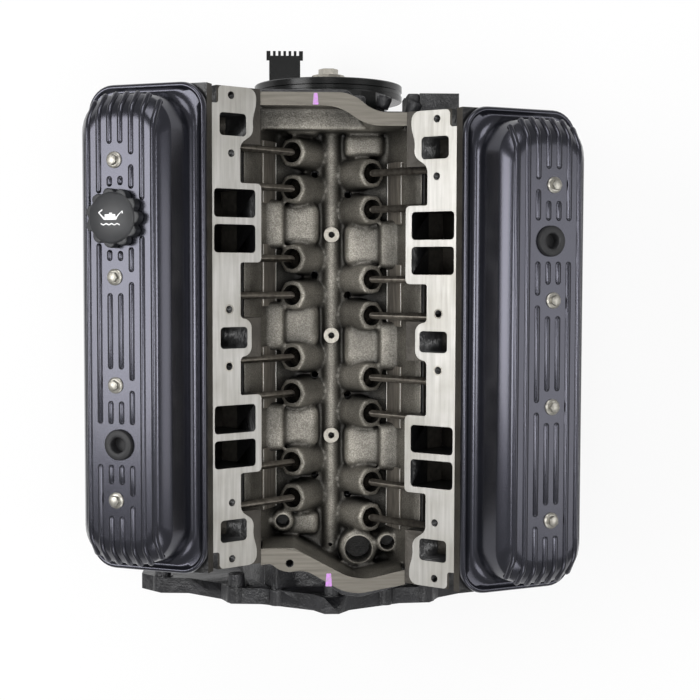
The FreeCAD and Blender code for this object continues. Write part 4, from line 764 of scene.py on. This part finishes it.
def rib_breaks(across, bank_name):
    """The places where a rib stops for a bolt, the grommet or the filler cap."""
    breaks = []
    room = BOLT_ROOM.get(across)
    if room:
        breaks += [(y_place - room, y_place + room) for y_place in COVER_BOLT_PLACES]
    if across in GROMMET_RIBS:
        breaks.append((GROMMET_PLACE[1] - GROMMET_ROOM, GROMMET_PLACE[1] + GROMMET_ROOM))
    if bank_name == "driver" and abs(across - CAP_PLACE[0]) < CAP_EDGE:
        half = math.sqrt(CAP_ROOM ** 2 - (across - CAP_PLACE[0]) ** 2)
        breaks.append((CAP_PLACE[1] - half, CAP_PLACE[1] + half))
    return sorted(breaks)


def rib_path(curve, across, start, end):
    """One rib between two places, or over the dome's end where a place is None."""
    ends = [(reach(ring, across), ring[3]) for ring in DOME_RINGS if reach(ring, across)]
    if start is None:
        knots = [(-y_place, level, 1.0) for y_place, level in ends]
    else:
        knots = [(start + inset, DOME_TOP, size) for inset, size in RIB_END]
    if end is None:
        knots += [(y_place, level, 1.0) for y_place, level in reversed(ends)]
    else:
        knots += [(end - inset, DOME_TOP, size) for inset, size in reversed(RIB_END)]
    spline = curve.splines.new("POLY")
    spline.points.add(len(knots) - 1)
    for point, (y_place, level, size) in zip(spline.points, knots):
        point.co = (across, y_place, LID + level - RIB_SINK, 1)
        point.radius = size


for bank_name, bank in BANKS.items():
    place = bank @ STEM
    shape = bmesh.new()
    loops = [rounded_ring(shape, x, y_half, radius, LID + level) for x, y_half, radius, level in COVER_RINGS]
    for lower, upper in zip(loops, loops[1:]):
        bmesh.ops.bridge_loops(shape, edges=lower + upper)
    bmesh.ops.contextual_create(shape, geom=loops[-1])
    bmesh.ops.transform(shape, matrix=place, verts=shape.verts)
    bmesh.ops.recalc_face_normals(shape, faces=shape.faces)
    lid = loose("lid", shape)
    sheet = lid.modifiers.new("sheet", "SOLIDIFY")
    sheet.thickness = 0.0016
    sheet.offset = -1
    drill = bmesh.new()
    bar(drill, (*GROMMET_PLACE, LID + 40), (*GROMMET_PLACE, LID + 70), 12.2, sides=32, frame_here=place)
    drill_tool = loose("drill", drill)
    cut_with(lid, drill_tool)
    shape = bmesh.new()
    shape.from_mesh(settled(lid))
    bpy.data.objects.remove(drill_tool)
    curve = bpy.data.curves.new("ribs", "CURVE")
    curve.dimensions = "3D"
    curve.bevel_depth = RIB_RADIUS
    curve.bevel_resolution = 3
    curve.use_fill_caps = True
    for across in RIB_PLACES:
        start = None
        for low, high in rib_breaks(across, bank_name):
            rib_path(curve, across, start, low)
            start = high
        rib_path(curve, across, start, None)
    ribs = from_curve(curve, place)
    rib_mesh = bpy.data.meshes.new("ribs")
    ribs.to_mesh(rib_mesh)
    ribs.free()
    shape.from_mesh(rib_mesh)
    cover = finish_piece(f"cover_{bank_name}", shape, [cover_paint], sharp=50)
    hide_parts(f"valve_cover_{bank_name}")


# ---- cover bolts, grommets and filler cap ----
# Zinc-plated flanged hexagon bolts, a rubber grommet for the breather in each cover, and a
# moulded nylon filler cap with a lobed edge and a plain oil-can sign.


def hex_bolt(shape, place, flat, tall, washer, turn):
    """A flanged hexagon head standing on a level: flat is the hexagon's corner radius."""
    flange = [(0, 0), (washer, 0), (washer, 1.1), (washer - 0.5, 1.7), (flat + 0.4, 2.4), (0, 2.4)]
    turned(shape, flange, place, 28)
    middle = place @ Matrix.Translation((0, 0, 2 + tall / 2)) @ Matrix.Rotation(turn, 4, "Z")
    made = bmesh.ops.create_cone(shape, cap_ends=True, segments=6, radius1=flat, radius2=flat, depth=tall,
                                 matrix=middle)
    rim = [edge for vert in made["verts"] for edge in vert.link_edges]
    bmesh.ops.bevel(shape, geom=list(set(rim)), offset=0.0006, affect="EDGES", segments=2, profile=0.5,
                    material=-1)


# Black glass-filled nylon, slightly grained.
plastic, tree, place, shader = mottled("moulded_nylon", "191a1c", "232427", 90, 0.42)
relief(tree, place, shader, 900, 0.00008)

# White pad-printed ink.
ink, tree, place, shader = principled("pad_print_ink", "e6e6e6", 0.5)
tint = mottle(tree, place, 500, "d0d0d0", "f4f4f4", 0.3, 0.6)
tree.links.new(tint, shader.inputs["Base Color"])

BOLT_SIZE = (5.6, 4.6, 8.2)
GROMMET_PROFILE = [(7.7, -7), (7.6, 3.6), (8.2, 4.6), (9.2, 5), (12.6, 5), (14.6, 4.2), (15.5, 2.6),
                   (15.5, 0.2), (12, 0.2), (11.8, -7), (7.7, -7)]
bolts, grommets = bmesh.new(), bmesh.new()
for bank in BANKS.values():
    for index, y_place in enumerate(COVER_BOLT_PLACES):
        spot = bank @ STEM @ Matrix.Translation((COVER_BOLT_LINE, y_place, LID + DOME_TOP))
        hex_bolt(bolts, spot, *BOLT_SIZE, index * 0.5)
    spot = bank @ STEM @ Matrix.Translation((*GROMMET_PLACE, LID + DOME_TOP))
    turned(grommets, GROMMET_PROFILE, spot, 48)
    turned(grommets, [(0, -6.4), (7.68, -6.4)], spot, 48)
cover_bolts = finish_piece("cover_bolt_set", bolts, [zinc], sharp=30)
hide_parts("valve_cover_bolts")
grommet_set = finish_piece("breather_grommets", grommets, [rubber])
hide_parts("cover_grommets")

CAP_BASE = LID + DOME_TOP + 0.6
CAP_MIDDLE = 5.7
CAP_TOP = 13.0
LOBES = 11
LOBE_RADII = (28.4, 28.4, 27.0, 22.4)
curve = bpy.data.curves.new("cap", "CURVE")
curve.dimensions = "2D"
curve.fill_mode = "BOTH"
curve.resolution_u = 6
curve.extrude = 4.4
curve.bevel_depth = 1.2
curve.bevel_resolution = 2
spline = curve.splines.new("NURBS")
spline.points.add(4 * LOBES - 1)
for index, point in enumerate(spline.points):
    radius = LOBE_RADII[index % len(LOBE_RADII)]
    turn = 2 * math.pi * index / len(spline.points)
    point.co = (radius * math.sin(turn), radius * math.cos(turn), 0, 1)
spline.use_cyclic_u = True
spline.order_u = 3
cap_spot = BANKS["driver"] @ STEM @ Matrix.Translation((*CAP_PLACE, CAP_BASE))
shape = from_curve(curve, cap_spot @ Matrix.Translation((0, 0, CAP_MIDDLE)))
turned(shape, [(25.6, 11.0), (24.6, 12.3), (23.4, 12.9), (0, CAP_TOP)], cap_spot, 56)
cap = finish_piece("filler_cap_moulding", shape, [plastic], "filler_cap", 30)
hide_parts("oil_fill_cap")

# The sign's outlines: each corner has its two places and its radius.
CAN = [(9, -5.5, 0.5), (12.5, -3.5, 0.5), (7, 1.5, 0.5), (-5.5, 1.5, 0.5), (-8, -1.5, 0.5),
       (-13, -5.5, 0.5), (-13.5, -2.5, 0.3), (-12.4, -2.5, 0.3), (-12, -4.2, 0.3), (-7.6, 0.6, 0.5),
       (-6.2, 3.6, 0.8), (7.6, 3.6, 0.8), (14, -3.6, 0.5), (9.4, -7, 0.5)]
LID_KNOB = [(1.6, -3.4, 0.4), (-1.6, -3.4, 0.4), (-1.6, -1.6, 0.4), (1.6, -1.6, 0.4)]
BODY = [(6.5, -1.9, 0.6), (-5, -1.9, 0.6), (-5.6, 1.6, 0.6), (6.8, 1.6, 0.6)]
WAVE = [(11, 6.6, 0.4), (8, 8.0, 0.6), (5, 6.6, 0.6), (2, 8.0, 0.6), (-1, 6.6, 0.6), (-4, 8.0, 0.6),
        (-7, 6.6, 0.6), (-10, 8.0, 0.4), (-10, 9.2, 0.4), (-7, 7.8, 0.6), (-4, 9.2, 0.6), (-1, 7.8, 0.6),
        (2, 9.2, 0.6), (5, 7.8, 0.6), (8, 9.2, 0.6), (11, 7.8, 0.4)]
for number, drawing in enumerate((CAN, LID_KNOB, BODY, WAVE)):
    shape = flat_plate([drawing], 0.12, cap_spot @ Matrix.Translation((0, -1.5, CAP_TOP)))
    finish_piece(f"filler_cap_sign_{number}", shape, [ink], "filler_cap")


# ---- crank train and camshaft ----
# Forged and ground steel shafts and rods, and cast aluminium pistons, all inside the block.
# Their CAD shapes stay, each with the finish of its own metal.

# Die-cast and turned aluminium.
cast_aluminium, tree, place, shader = mottled("cast_aluminium", "9a9a9a", "b6b6b6", 150, 0.42, 0.9)
relief(tree, place, shader, 300, 0.0002)

paint(cast_aluminium, *(f"piston_{index}" for index in range(1, 9)))
paint(ground_steel, "crankshaft", "camshaft", "cam_sprocket", "crank_sprocket", "timing_chain",
      *(f"rod_{index}" for index in range(1, 9)))
paint(raw_iron, "main_bearing_caps")


# ---- front cover, damper and pointer ----
# A pressed steel cover over the timing chain, and a damper of three parts: a bright turned hub,
# a bonded rubber band and a black outer ring. A black notched pointer reads against its rim.

# Black enamel with a deep gloss.
gloss_black, tree, place, shader = mottled("gloss_black_enamel", "0a0b0b", "101111", 50, 0.24, 0.0,
                                           **{"Specular IOR Level": 0.35})
relief(tree, place, shader, 300, 0.00004)

# Turned steel, with fine rings from the tool.
bright_steel, tree, place, shader = mottled("turned_steel", "a09c93", "b2aea5", 200, 0.28, 0.95)
relief(tree, place, shader, 700, 0.00003)

FORWARD = Matrix.Rotation(math.pi / 2, 4, "X")
DAMPER_FRONT = 612.5


def front_turned(name, profile, material, body, slot, *replaced, steps=72):
    """A piece spun about the crankshaft: heights count forward from the damper's front face."""
    shape = bmesh.new()
    turned(shape, profile, MM @ Matrix.Translation((0, -DAMPER_FRONT, 0)) @ FORWARD, steps)
    piece = finish_piece(name, shape, [material], body, 30)
    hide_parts(*replaced)


front_turned("damper_outer_ring", [
    (71.1, -19.6), (88.6, -19.6), (89.8, -18.6), (89.9, -13.2), (88.8, -12.4), (88.8, -8.4), (89.9, -7.6),
    (89.9, -1.2), (88.8, -0.1), (79, -0.1), (77, -1.4), (73, -1.4), (71.1, -0.4), (71.1, -19.6)],
    gloss_black, "crank_assembly", "black_paint", "damper_ring", steps=96)
front_turned("damper_rubber_band", [
    (68.05, -15), (70.95, -15), (70.95, -4.6), (69.5, -3.4), (68.05, -4.6), (68.05, -15)],
    rubber, "crank_assembly", "black_rubber", "damper_rubber", steps=96)
paint(bright_steel, "damper_hub", "crank_bolt")
paint(rubber, "front_seal")
paint(gloss_black, "timing_cover", "timing_pointer")


# ---- rear housing, oil pan and pump ----
# An aluminium rear seal housing, and a pressed steel pan with a deep rear sump, its edges rolled
# and its flange bolted through a gasket. The pump and its pickup hang inside it.

paint(cast_aluminium, "rear_seal_housing")
paint(rubber, "rear_seal", "oil_pan_gasket")
paint(raw_iron, "oil_pump")
paint(zinc, "drain_plug", "oil_pickup")
pan = loose("pan", merged_copy("oil_pan"))
roll = pan.modifiers.new("roll", "BEVEL")
roll.width = 0.005
roll.segments = 3
roll.limit_method = "ANGLE"
roll.angle_limit = math.radians(40)
shape = bmesh.new()
shape.from_mesh(settled(pan))
pan_piece = finish_piece("oil_pan_pressing", shape, [gloss_black], sharp=50)
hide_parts("oil_pan")
